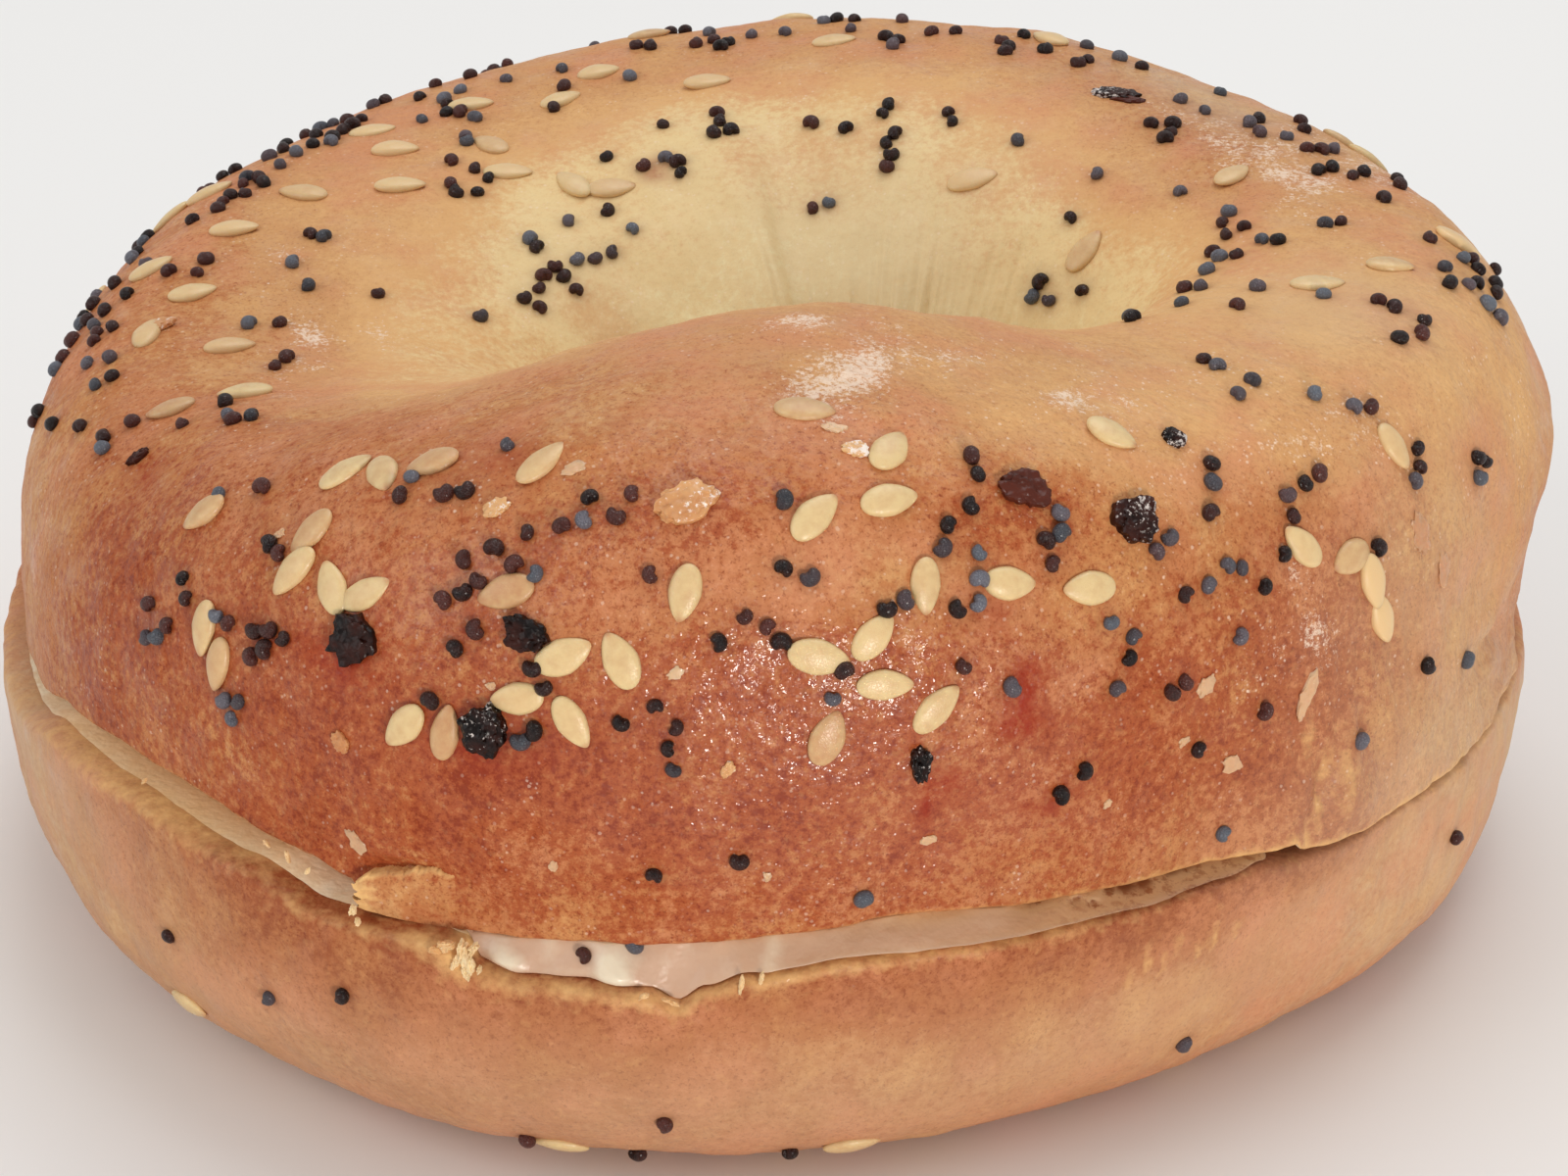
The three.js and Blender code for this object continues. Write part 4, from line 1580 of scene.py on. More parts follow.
@dataclass
class CreamCheese:
    """The spread: a thin ring between the cut faces, bulging at the rim where it shows."""

    crust: Crust
    node: str = "cream_cheese"
    slot: str = "spread"
    loops: int = 900
    face_steps: int = 16
    nose_steps: int = 18
    gap: float = 0.3
    nose: float = 0.5
    hole_inset: float = 2.5
    uneven: float = 0.3  # how far its edge wanders
    ring: float = 45.0  # the plain ring on which that is read
    waves: float = 0.08  # of its skin
    inset: Rim = Rim((
        (20, 4), (190, 3.5), (230, 3.2), (240, 3), (249, 0.6), (258, 0.5), (264, 0.5), (290, 0.4),
        (307, 0.5), (311.5, 1), (315, 5), (330, 9), (350, 9),
    ))
    apron: Rim = Rim((
        (20, 0), (238, 0), (246, 0.2), (249, 0.9), (257, 1.1), (264, 1.2), (272, 1.8), (286, 2.1),
        (300, 2), (308, 1.7), (312, 1), (316, 0),
    ))
    blobs: tuple[Blob, ...] = (
        Blob(250.2, 0.45, 0.75, 0.3, 0.9), Blob(251.4, 0.3, 0.6, 0.25, 0.6),
        Blob(257.8, 0.55, 0.75, 0.42, 1), Blob(258.9, 0.22, 0.7, 0.25, 0.8),
        Blob(253.6, 0.9, 0.5, 0.3, 0.3), Blob(269.4, 0.6, 0.5, 0.5, 0.6),
        Blob(262.5, 0.8, 1, 0.25, 0.25), Blob(255.2, 0.2, 0.8, 0.2, 0.3),
        # From here on the blobs sink: these are hollows, painted dark through the bread mask as
        # painted shade.
        Blob(298.6, 0.8, 0.5, 0.16, -1.9), Blob(300.3, 0.7, 0.45, 0.14, -1.6),
        Blob(297, 0.85, 0.35, 0.12, -1.3), Blob(295.2, 0.5, 0.3, 0.1, -1),
        Blob(303.5, 0.85, 0.6, 0.12, -1.3), Blob(305, 0.8, 0.4, 0.1, -1.1),
        Blob(293.8, 0.7, 0.3, 0.1, -1), Blob(281, 0.9, 3, 0.2, -0.35),
        Blob(290.5, 0.9, 1.2, 0.16, -0.6),
    )
    bread: Rim = Rim((
        (20, 1), (190, 1), (240, 0.6), (249, 0), (261, 0), (268, 0.28), (285, 0.42), (293, 0.78),
        (302, 1),
    ))
    poppies: Rows = ((256.0, 0.62), (259.6, 0.97))  # azimuth and level

    def _spot(
        self, azimuth: Array, inward: Array, nose: Array, level: Array
    ) -> tuple[Array, Array]:
        """Points of the spread's skin.

        Args:
            azimuth: Their azimuths.
            inward: Their shares of the way out from the hole.
            nose: How far round the nose's curve they are.
            level: Their shares of the way up.

        Returns:
            The points, and how far the spread is proud of its usual skin there.
        """
        dough = self.crust.dough
        section = dough.section(azimuth)
        rim, hole = (
            dough.half_crust(Half.TOP, section, dough.cut_roll(Half.TOP, section, rolls))[0]
            for rolls in (dough.rim_rolls, dough.hole_rolls)
        )
        blob = sum(b.at(azimuth, level) for b in self.blobs) * (inward > 0.97)
        uneven = self.uneven * grain(ring_spots(azimuth, self.ring, 2 * level), 4.0, 3, 61.0)
        apron = self.apron.at(azimuth)
        settled = np.clip(apron, 0.0, 1.0)
        low = hole + self.hole_inset
        high = rim - self.inset.at(azimuth) + uneven + apron * (1.0 - level) ** 1.4 + 0.55 * blob
        across = low + (high - low) * inward + nose * (self.nose * (1 - 0.6 * settled))
        top, bottom = (dough.cut_face(half, section, across / section.width) for half in Half)
        top = top - self.gap * (1 - 0.8 * settled)
        bottom = bottom + self.gap * (1 - 1.4 * settled)
        return section.place(across, bottom + (top - bottom) * level), blob

    def build(self, finish: Material) -> Object:
        """Builds the ring of spread.

        Args:
            finish: Its material.

        Returns:
            The object, standing for its frame node.
        """
        path = self._path()
        azimuth = np.repeat(np.linspace(0.0, 360.0, self.loops, endpoint=False), len(path))
        inward, nose, level = (np.tile(column, self.loops) for column in path.T)
        points, blob = self._spot(azimuth, inward, nose, level)
        shown = np.where(inward == 1.0, 4.0 * level * (1.0 - level), 0.0)
        points[:, 2] += self.waves * grain(points, 2.6, 2, 62.0) * shown
        # Sunken blobs raise the bread mask, which paints their hollows dark as painted shade.
        bread = np.clip(self.bread.at(azimuth) - np.minimum(blob, 0.0), 0.0, 2.0) / 2.0
        mould = Mould(f"{self.node}_spread")
        masks = {"blob": np.clip(blob, 0.0, 1.0), "bread": bread}
        mould.add(points, ring_faces(self.loops, len(path)), masks)
        return mould.cast([finish], self.slot, self.node)

    def seats(self) -> list[Seat]:
        """Where poppy seeds are stuck in the spread.

        Returns:
            Their seats.
        """
        found = []
        for azimuth, level in self.poppies:
            nose = np.array([2.0 * math.sqrt(level * (1.0 - level))])
            points, _ = self._spot(np.array([azimuth]), np.ones(1), nose, np.array([level]))
            around = math.radians(azimuth)
            out = Vector((math.cos(around), math.sin(around), 0.2)).normalized()
            found.append(Seat.on(points[0], Vector((0.0, 0.0, 1.0)).cross(out).normalized(), out))
        return found

    def _path(self) -> Array:
        """Steps round the spread's section: out along the bottom, round the nose, and back.

        Returns:
            Rows of the share of the way out, the nose's reach, and the share of the way up.
        """
        share = np.linspace(0.0, 1.0, self.face_steps)
        angles = [math.pi * step / self.nose_steps for step in range(1, self.nose_steps)]
        return np.array([
            *[(value, 0.0, 0.0) for value in share],
            *[(1.0, math.sin(angle), 0.5 - 0.5 * math.cos(angle)) for angle in angles],
            *[(value, 0.0, 1.0) for value in share[::-1]],
            *[(0.0, -math.sin(angle), 0.5 + 0.5 * math.cos(angle)) for angle in angles],
        ])


@dataclass
class CrustTongue:
    """A strip of the top's crust that the knife tore loose, still joined at one end."""

    crust: Crust
    start: float = 239.3
    end: float = 248.9
    top: Rim = Rim((
        (200, 19.4), (239.3, 19.4), (240.8, 20), (242.8, 20.5), (245, 20.9), (246.4, 20.8),
        (248.9, 20.4), (300, 20.4),
    ))
    proud: float = 0.55
    sunk: float = 1.2
    climb: float = 1.9
    jagged: float = 0.3  # how far its upper edge wanders
    span: float = 10.8  # its length, in millimetres
    rows: int = 110
    front_steps: int = 34
    back_steps: int = 12
    edge_steps: int = 7

    def _path(self) -> Array:
        """Steps round the strip's section.

        Returns:
            Rows of the share of its height and of its thickness.
        """
        edge = np.linspace(0.9, 0.1, self.edge_steps)
        return np.array([
            *[(t, 1.0) for t in np.linspace(0.04, 0.96, self.front_steps)],
            *[(1.0, t) for t in edge],
            *[(t, 0.0) for t in np.linspace(0.96, 0.04, self.back_steps)],
            *[(0.0, t) for t in np.linspace(0.1, 0.9, self.edge_steps)],
        ])

    def build(self, finish: Material, bake: Bake) -> Object:
        """Builds the tongue.

        Args:
            finish: The crust's material.
            bake: How the crust has browned.

        Returns:
            The object.
        """
        dough, path = self.crust.dough, self._path()
        along = np.linspace(0.0, 1.0, self.rows) ** 1.15
        along, up = (v.ravel() for v in np.meshgrid(along, path[:, 0], indexing="ij"))
        out, left = np.tile(path[:, 1], self.rows), 1 - along
        spots = np.stack([40.0 * along, 9.0 * up, 2.0 * out], -1)
        jag = grain(spots * [0.0, 1.0, 1.0], 1.6, 3, 71.0)
        ragged = self.jagged * grain(spots * [1.0, 0.0, 0.3], 2.4, 4, 72.0)
        azimuth = self.start + 0.25 + 0.7 * jag * left**9 + (self.end - self.start) * along
        section = dough.section(azimuth)
        edge = dough.cut_face(Half.TOP, section, 1.0)
        low, high = edge + 0.02 + 0.3 * left**6, self.top.at(azimuth) + ragged
        height = low + (high - low) * up
        roll = dough.cut_roll(Half.TOP, section, dough.rim_rolls) + (height - edge) * self.climb
        rim, _ = dough.half_crust(Half.TOP, section, roll)
        bulge = 0.3 * np.sin(np.pi * np.clip(up, 0, 1)) * left
        sinking = 0.04 + 0.5 * ease(0.6, 1.0, along)
        lift = self.proud * left**2 - sinking + bulge * left + 0.08 * grain(spots, 5.0, 3, 73.0)
        curl = 0.35 * (up > 0.9) * (1 - out) * left
        across = rim - self.sunk + (self.sunk + lift) * out - curl
        points = section.place(across, height)
        masks = bake.masks(Half.TOP, azimuth, roll)
        browned = masks["bake"] - 0.25 * np.clip(1 - along / 0.7, 0, 1)
        masks["bake"] = np.clip(browned + 0.1 * grain(spots, 4.0, 3, 74.0), 0, 1)
        rims = 0.9 * np.exp(-np.square((1.0 - up) * (high - low) / 0.3))
        rims = 0.9 * rims * (0.7 + 0.5 * ragged / self.jagged)
        ends = 0.8 * np.exp(-np.square(along * self.span / (1.3 + 0.9 * jag)))
        masks["torn"] = np.clip(rims + 1.1 * ends + (1.0 - out), 0, 1)
        masks["seat_shadow"] = np.zeros(len(points))
        masks = {name: np.append(values, values[[0, -1]]) for name, values in masks.items()}
        size, count = len(path), len(points)
        caps = [points.reshape(self.rows, size, 3)[k].mean(0) for k in (0, -1)]
        mould = Mould("crust_tongue")
        skin = ring_faces(self.rows, size, closed=False)[:, ::-1]
        mould.add(np.concatenate([points, caps]), skin, masks)
        mould.cover(fan_faces(0, size, count))
        mould.cover(fan_faces(count - size, size, count + 1)[:, [1, 0, 2]])
        return mould.cast([finish], "top_crust")


# ---- Toppings ----


def sphere_template(levels: int) -> tuple[Array, Array]:
    """Points and triangles of a unit ball.

    Args:
        levels: How often its triangles are split.

    Returns:
        The points and the rows of three vertex numbers.
    """
    form = bmesh.new()
    bmesh.ops.create_icosphere(form, subdivisions=levels, radius=1.0)
    points = np.array([v.co[:] for v in form.verts])
    faces = np.array([[v.index for v in f.verts] for f in form.faces])
    form.free()
    return points, faces

@dataclass
class Toppings:
    """Where every seed and flake lies, in the frame's own order, so that both agree."""

    crust: Crust
    share: float = 0.18
    clear_flake: float = 0.3
    clear_sesame: float = 0.2
    clear_back: float = 1.2
    clear_poppy: float = 0.9
    clump: float = 0.49  # room that a poppy seed in a clump keeps
    clear_seed: float = 0.75  # room that they keep round a sesame seed
    flake_seed: int = 2024
    drift_seed: int = 501
    next_drift: int = 77
    flake_draws: int = 7  # random numbers that each flake takes up in the frame
    flakes: Rows = (  # azimuth, roll, heading and length
        (238, 47, 350, 3.1), (251, 50, 335, 2.9), (249, 39, 80, 3.1), (289, 66, 0, 3),
        (299, 62, 40, 3.2), (280, 36, 95, 2.4), (204, 60, 25, 1.8), (261, 64, 25, 4.1),
        (306, 72, 0, 2.2), (55, 95, 175, 5.6), (85, 50, 120, 3), (120, 38, 40, 2.8),
        (45, 48, 200, 3.4),
    )
    flake_room: float = 0.45  # what a poppy seed keeps from a flake, as a share of its length
    sesame: Rows = (  # azimuth, roll, heading and any glaze
        (219, 57, 200), (199, 69, 205), (201, 80, 195), (230, 67, 37), (234, 67, 300),
        (238, 69, 180), (231, 58, 225), (231, 53, 220), (235, 52, 120), (238, 52, 20),
        (224, 43, 255), (226, 39, 245), (249, 54, 195), (254, 48, 25), (251, 43, 190),
        (258, 48, 115), (255, 41, 300), (243, 38, 225), (246, 38, 75), (262, 55, 260), (269, 77, 0),
        (277, 71, 60), (277, 65, 20), (271, 63, 50), (280, 56, 270), (272, 49, 350), (277, 46, 0),
        (276, 51, 50), (273, 40, 75), (281, 43, 48), (248, 69, 60), (299, 73, 330), (294, 55, 185),
        (287, 56, 0), (316, 56, 150), (321, 53, 200), (323, 49, 300, 1), (324, 43, 310, 1),
        (330, 64, 310, 0.3), (357, 84, 5), (8, 73, 315, 0.9), (175, 77, 30, 0.5),
        (162, 79, 10, 0.7), (139, 88, 10, 0.9), (134, 108, 0, 0.7), (146, 98, 10, 0.6),
        (129, 117, 120, 0.4), (125, 121, 10, 0.5), (68, 124, 15, 0.6), (38, 125, 60, 0.2),
        (67, 80, 100, 0.7), (137, 79, 30, 0.7), (153, 66, 40, 0.5), (127, 85, 20, 0.5),
        (131, 99, 120, 0.4), (119, 93, 60, 0.5), (152, 84, 150, 0.4), (169, 68, 60, 0.4),
        (182, 70, 100, 0.5), (113, 87, 40, 0.5), (104, 101, 10, 0.6), (89, 89, 20, 0.4),
        (187, 83, 30, 0.5), (29, 100, 70, 0.4), (349, 92, 20, 0.3),
    )
    back_azimuth: Pair = (25, 165)
    back_roll: Pair = (28, 74)
    back_count: int = 16
    touching: float = 0.55  # how many seeds of a drift lie against another
    beside: Pair = (1.45, 2.6)  # how far apart those are, in azimuth and roll
    drifts: Rows = (  # azimuth, roll, their spreads, and how many seeds
        (204, 63, 4, 3, 5), (209, 75, 4, 3, 6), (227, 61, 5, 3, 8), (238, 65, 2, 2, 3),
        (234, 52, 3, 4, 6), (220, 44, 3, 5, 5), (231, 39, 4, 3, 7), (245, 46, 4, 3, 10),
        (249, 57, 2, 2, 6), (246, 67, 2, 4, 3), (255, 61, 3, 3, 9), (259, 42, 6, 2, 7),
        (266, 56, 2, 4, 4), (271, 54, 2, 3, 7), (276, 64, 3, 3, 5), (287, 65, 4, 3, 10),
        (283, 53, 3, 4, 12), (296, 49, 6, 3, 6), (310, 59, 5, 5, 14), (327, 67, 4, 6, 7),
        (315, 34, 13, 8, 7), (174, 65, 7, 5, 17), (147, 72, 5, 4, 22), (159, 74, 4, 4, 8),
        (133, 103, 5, 6, 11), (114, 118, 8, 6, 12), (145, 126, 12, 6, 12), (181, 88, 10, 8, 11),
        (192, 57, 5, 4, 6), (129, 83, 8, 5, 12), (105, 84, 8, 5, 14), (83, 84, 8, 4, 16),
        (62, 86, 8, 5, 10), (35, 80, 9, 4, 14), (5, 76, 9, 5, 8), (348, 76, 7, 8, 9),
        (345, 105, 13, 6, 10), (65, 122, 22, 9, 17), (145, 50, 12, 12, 26), (105, 48, 14, 13, 30),
        (62, 50, 14, 13, 28), (22, 50, 10, 12, 12), (117.5, 121, 1.6, 1.3, 7),
    )
    late_drifts: Rows = (
        (148, 127, 5, 3, 7), (138, 122, 5, 4, 7), (155, 125, 4, 3, 5), (110, 118, 6, 3, 6),
        (141, 110, 4, 4, 6), (166, 56, 6, 5, 9), (176, 60, 5, 4, 9), (146, 70, 5, 4, 7),
        (134, 68, 6, 4, 9), (128, 73, 6, 4, 7), (120, 70, 8, 5, 9), (54, 97, 6, 3, 7),
        (45, 90, 7, 4, 6), (32, 83, 7, 4, 6), (24, 80, 6, 4, 7), (11, 81, 6, 4, 7),
        (359, 72, 6, 5, 6), (57, 131, 6, 4, 6), (40, 124, 6, 4, 5), (16, 108, 6, 4, 6),
        (5, 108, 5, 4, 5), (342, 104, 5, 4, 4), (320, 84, 2, 3, 5), (319, 81, 2, 2, 4),
        (330, 71, 3, 2, 5), (334, 66, 3, 2, 5), (343, 60, 3, 3, 5), (184, 54, 4, 4, 6),
        (170, 100, 8, 8, 6), (90, 122, 14, 5, 8), (244, 52, 3, 4, 5), (222, 51, 4, 4, 5),
        (268, 66, 3, 3, 4), (258, 63, 3, 3, 4), (300, 58, 3, 3, 5), (304.5, 31, 0, 0, 1),
        (310.8, 35, 0, 0, 1), (329.5, 31.5, 0, 0, 1), (337, 25, 0, 0, 1), (291.5, 28.5, 0, 0, 1),
        (267, 23, 0, 0, 1), (261, 20.5, 0, 0, 1), (276, 15.5, 0, 0, 1),
    )
    late_seed: int = 9001
    bottom_sesame: Rows = (
        (221, -30, 30), (253, -38, 170), (276, -38, 10), (100, -33, 200),
    )
    bottom_poppies: Rows = (
        (222, -12), (232, -14), (239, -7), (262, -25), (251, -35), (259, -40), (271, -40),
        (306, -36), (338, -24), (150, -20), (60, -28), (110, -8),
    )

    def __post_init__(self) -> None:
        """Starts with nothing placed."""
        self.taken: list[Seat] = []
        self.flake_seats: list[Seat] = []
        self.sesame_seats: list[Seat] = []
        self.poppy_seats: list[Seat] = []
        self.bottom_seats: dict[str, list[Seat]] = {"sesame": [], "poppy": []}

    def _offer(
        self, kept: list[Seat], azimuth: float, roll: float, heading: float, clear: float,
        half: Half = Half.TOP,
    ) -> bool:
        """Seats a topping unless it would land on another.

        Args:
            kept: The list that it joins.
            azimuth: Degrees.
            roll: Degrees.
            heading: Degrees.
            clear: The room that it keeps.
            half: The half that it lies on.

        Returns:
            Whether there was room.
        """
        seat = self.crust.seat(half, azimuth, roll, heading, clear)
        middle = seat.middle
        if any((other.middle - middle).length < other.clear + clear for other in self.taken):
            return False
        self.taken.append(seat)
        kept.append(seat)
        return True

    def scatter(self) -> None:
        """Seats everything: the frame's own toppings first, then the rest of each drift."""
        draw = random_draw(self.flake_seed)
        for azimuth, roll, heading, length in self.flakes:
            for _ in range(self.flake_draws):
                draw()
            self._offer(self.flake_seats, azimuth, roll, heading, self.clear_flake * length)
        for azimuth, roll, heading, *glaze in self.sesame:
            if self._offer(self.sesame_seats, azimuth, roll, heading, self.clear_sesame) and glaze:
                self.sesame_seats[-1].glaze = glaze[0]
        for _ in range(self.back_count):
            azimuth, roll = (
                low + (high - low) * draw() for low, high in (self.back_azimuth, self.back_roll)
            )
            self._offer(self.sesame_seats, azimuth, roll, 360.0 * draw(), self.clear_back)
        falls = self._falls(self.drift_seed, self.drifts)
        for drift, fall in zip(self.drifts, falls):
            for _ in range(self._first(drift)):
                self._drop(drift, fall, self.clear_poppy)
        for seat in self.poppy_seats:
            seat.clear = self.clump
        for seat in self.sesame_seats:
            seat.clear = self.clear_seed
        for seat, (*_, length) in zip(self.flake_seats, self.flakes):
            seat.clear = self.flake_room * length
        late = self._falls(self.late_seed, self.late_drifts)
        for drift, fall in zip([*self.drifts, *self.late_drifts], [*falls, *late]):
            self._fill(drift, fall)
        for azimuth, roll, heading in self.bottom_sesame:
            self._offer(self.bottom_seats["sesame"], azimuth, roll, heading, 0.0, Half.BOTTOM)
        for azimuth, roll in self.bottom_poppies:
            self._offer(self.bottom_seats["poppy"], azimuth, roll, 0.0, 0.0, Half.BOTTOM)

    def _falls(self, seed: int, drifts: Sequence[Row]) -> list[Draw]:
        """Each drift's own random numbers."""
        return [random_draw(seed + self.next_drift * i) for i in range(len(drifts))]

    def _first(self, drift: Row) -> int:
        """How many seeds of a drift the frame has."""
        return math.floor(drift[4] * self.share + 0.5)

    def _drop(self, drift: Row, fall: Draw, clear: float) -> Pair:
        """Drops one poppy seed in a drift.

        Args:
            drift: Its middle, its spreads and its count.
            fall: The drift's random numbers.
            clear: The room that the seed keeps.

        Returns:
            Its azimuth and roll, whether there was room or not.
        """
        azimuth, roll = (
            middle + spread * (2.0 * (fall() + fall() + fall()) - 3.0)
            for middle, spread in zip(drift[:2], drift[2:4])
        )
        self._offer(self.poppy_seats, azimuth, roll, 360.0 * fall(), clear)
        return azimuth, roll

    def _fill(self, drift: Row, fall: Draw) -> None:
        """Adds the rest of a drift, many of its seeds against one that fell before.

        Args:
            drift: Its middle, its spreads and its count.
            fall: The drift's random numbers.
        """
        fallen = [self._drop(drift, fall, self.clump)]
        for _ in range(int(drift[4]) - self._first(drift) - 1):
            if fall() < self.touching:
                azimuth, roll = fallen[int(fall() * len(fallen))]
                turned = 2.0 * math.pi * fall()
                azimuth += self.beside[0] * math.cos(turned)
                roll += self.beside[1] * math.sin(turned)
                if self._offer(self.poppy_seats, azimuth, roll, 360.0 * fall(), self.clump):
                    fallen.append((azimuth, roll))
            else:
                fallen.append(self._drop(drift, fall, self.clump))


class Seeds:
    """Seeds of one kind."""

    def template(self) -> tuple[Array, Array]:
        """One seed's own points and faces."""
        raise NotImplementedError

    def vary(self, points: Array, seat: Seat, draw: Draw) -> tuple[Array, Masks]:
        """One seed's points and masks, a little unlike the next one's."""
        raise NotImplementedError

    def build(
        self, name: str, seats: Sequence[Seat], slot: str, finish: Material, seed: int
    ) -> Object:
        """Builds all the seeds as one piece.

        Args:
            name: The piece's name.
            seats: Where they lie.
            slot: The name of a record slot, passed on to the mould, which doesn't use it.
            finish: Their material.
            seed: Start of the draws that vary them.

        Returns:
            The object.
        """
        points, faces = self.template()
        draw = random_draw(seed)
        mould = Mould(name)
        for seat in seats:
            shaped, masks = self.vary(points, seat, draw)
            mould.add(seat.put(shaped), faces, masks)
        return mould.cast([finish], slot)


@dataclass(frozen=True)
class SesameSeeds(Seeds):
    """Hulled sesame: flat teardrops with a blunt end, some toasted darker."""

    length: float = 3.15
    width: float = 1.74
    thick: float = 0.8
    sunk: float = 0.4
    taper: float = 0.3
    rows: int = 14
    ribs: int = 18

    def template(self) -> tuple[Array, Array]:
        """The seed, lying flat, its pointed end along +X.

        Returns:
            Its points and faces.
        """
        along = -np.cos(np.linspace(0.0, np.pi, self.rows + 1))
        angle = np.linspace(0.0, 2 * np.pi, self.ribs, endpoint=False)
        u, v = np.meshgrid(along, angle, indexing="ij")
        ahead = np.maximum(u, 0.0)
        girth = np.sqrt(np.maximum(1.0 - u**2, 0.0)) ** 0.92
        narrow = 1.0 - self.taper * ahead - 0.12 * ahead**4
        rim = 0.05 * np.exp(-np.square(np.sin(v) / 0.3)) * np.sign(np.cos(v))
        x = u * self.length / 2
        y = girth * narrow * (np.cos(v) + rim) * self.width / 2
        z = girth * narrow * np.sign(np.sin(v)) * np.abs(np.sin(v)) ** 0.66 * self.thick / 2
        points = np.stack([x, y, z + self.thick * (0.5 - self.sunk)], -1).reshape(-1, 3)
        return points, np.roll(ring_faces(self.rows + 1, self.ribs, closed=False), -1, axis=1)

    def vary(self, points: Array, seat: Seat, draw: Draw) -> tuple[Array, Masks]:
        """One seed, stretched and bent a little.

        Args:
            points: The usual seed's points.
            seat: Where it lies.
            draw: Random numbers.

        Returns:
            Its points and masks.
        """
        ahead = points[:, 0] / (self.length / 2)
        tip = ease(0.72, 1.0, ahead)
        crease = np.exp(-np.square(points[:, 1] / 0.09)) * ease(0.1, 0.8, ahead)
        middle = bell(np.hypot(ahead, points[:, 1] / (self.width / 2)) / 0.45)
        stretch = np.array([0.94 + 0.14 * draw(), 0.9 + 0.18 * draw(), 0.85 + 0.3 * draw()])
        bend = 0.06 * (draw() - 0.5)
        shaped = points * stretch
        shaped[:, 1] += bend * shaped[:, 0] ** 2
        toast = draw()
        tone = 1.0 - 0.8 * toast**2.5 - 0.6 * tip - 0.35 * crease * draw() - 0.16 * middle
        frost = np.maximum(0.9 * max(draw() - 0.6, 0.0), seat.glaze * (1.0 - 0.3 * tip))
        return shaped, {"tone": tone, "frost": frost}


@dataclass(frozen=True)
class PoppySeeds(Seeds):
    """Poppy seeds: kidney-shaped, near black to slate blue, with a net of fine ribs."""

    radius: float = 0.48
    sides: tuple[float, float, float] = (0.98, 1.1, 0.86)  # its proportions
    sunk: float = 0.3
    notch: float = 0.5

    def template(self) -> tuple[Array, Array]:
        """The seed, with its notch towards +X.

        Returns:
            Its points and faces.
        """
        points, faces = sphere_template(3)
        facing = np.arctan2(points[:, 1], points[:, 0])
        flat = 1.0 - np.abs(points[:, 2]) ** 3
        dent = self.notch * np.exp(-np.square(facing / 0.42)) * flat
        curl = 0.12 * np.exp(-np.square((facing - 0.75) / 0.4)) * flat
        shaped = points * (1.0 - dent + curl)[:, None] * np.array(self.sides) * self.radius
        shaped[:, 2] += self.radius * (1.0 - 2.0 * self.sunk)
        return shaped, faces

    def vary(self, points: Array, seat: Seat, draw: Draw) -> tuple[Array, Masks]:
        """One seed, larger or smaller, turned its own way.

        Args:
            points: The usual seed's points.
            seat: Where it lies; it is not used.
            draw: Random numbers.

        Returns:
            Its points and masks.
        """
        size = 0.86 + 0.26 * draw()
        spin = Matrix.Rotation(2 * math.pi * draw(), 3, "Z")
        spin = spin @ Matrix.Rotation(1.2 * (draw() - 0.5), 3, "Y")
        frost = 0.15 + 0.6 * draw() if draw() < 0.32 else 0.0
        return points * size @ np.array(spin).T, {"tone": draw() ** 1.4, "frost": frost}


@dataclass(frozen=True)
class Chip:
    """One chip: where it lies, its size in millimetres, its shape and how it looks."""

    azimuth: float
    roll: float
    heading: float
    length: float
    width: float
    thick: float
    tone: float = 0.2  # how light, 0 to 1
    frost: float = 0.0  # how much pale salt or flour sticks to it
    corners: int = 9
    jag: float = 0.24
    lumpy: float = 0.26
    half: Half = Half.TOP


@dataclass
class Chips:
    """Jagged chips pressed into the crust, such as burnt onion, garlic and salt."""

    crust: Crust
    name: str
    slot: str = "top_crust"
    levels: int = 4
    hard: float = 40.0  # the angle past which an edge stays hard
    proud: float = 0.15  # how high a chip's middle lies, as a share of its thickness

    def _shape(self, chip: Chip, points: Array, draw: Draw, seed: float) -> Array:
        """One chip, its outline jagged and its face lumpy.

        Args:
            chip: Its sizes.
            points: A unit ball's points.
            draw: Random numbers.
            seed: Picks its lumps.

        Returns:
            Its own points.
        """
        angle = np.arctan2(points[:, 1], points[:, 0])
        turns = np.linspace(-math.pi, math.pi, chip.corners, endpoint=False)
        turns = turns + 0.5 * (2 * math.pi / chip.corners) * np.array([draw() for _ in turns])
        sides = np.array([1.0 + chip.jag * (draw() - 0.5) for _ in turns])
        facets = sides[:, None] / np.maximum(np.cos(angle - turns[:, None]), 0.3)
        outline = np.minimum(facets.min(0), 1.35)
        bump = grain(points * [3.0, 3.0, 1.0] + 9.0 * seed, 1.1, 3, seed)
        upright = np.sign(points[:, 2]) * np.abs(points[:, 2]) ** 0.5
        shaped = np.stack([points[:, 0] * outline, points[:, 1] * outline, upright], -1)
        shaped = shaped * (1.0 + chip.lumpy * bump)[:, None]
        shaped[:, 2] += 0.5 * chip.lumpy * bump
        shaped *= np.array([chip.length / 2, chip.width / 2, chip.thick / 2]) * 0.92
        shaped[:, 2] += self.proud * chip.thick
        return shaped

    def build(
        self, rows: Sequence[Chip], finish: Material, seed: int
    ) -> Object:
        """Builds the chips as one piece.

        Args:
            rows: What lies where.
            finish: Their material.
            seed: Picks their shapes.

        Returns:
            The object.
        """
        points, faces = sphere_template(self.levels)
        draw = random_draw(seed)
        mould = Mould(self.name)
        for index, chip in enumerate(rows):
            seat = self.crust.seat(chip.half, chip.azimuth, chip.roll, chip.heading)
            shaped = self._shape(chip, points, draw, seed + index)
            frost = np.clip(chip.frost * (1.0 + 0.5 * points[:, 0]), 0.0, 1.0)
            mould.add(seat.put(shaped), faces, {"tone": chip.tone, "frost": frost})
        return mould.cast([finish], self.slot, sharp=self.hard)


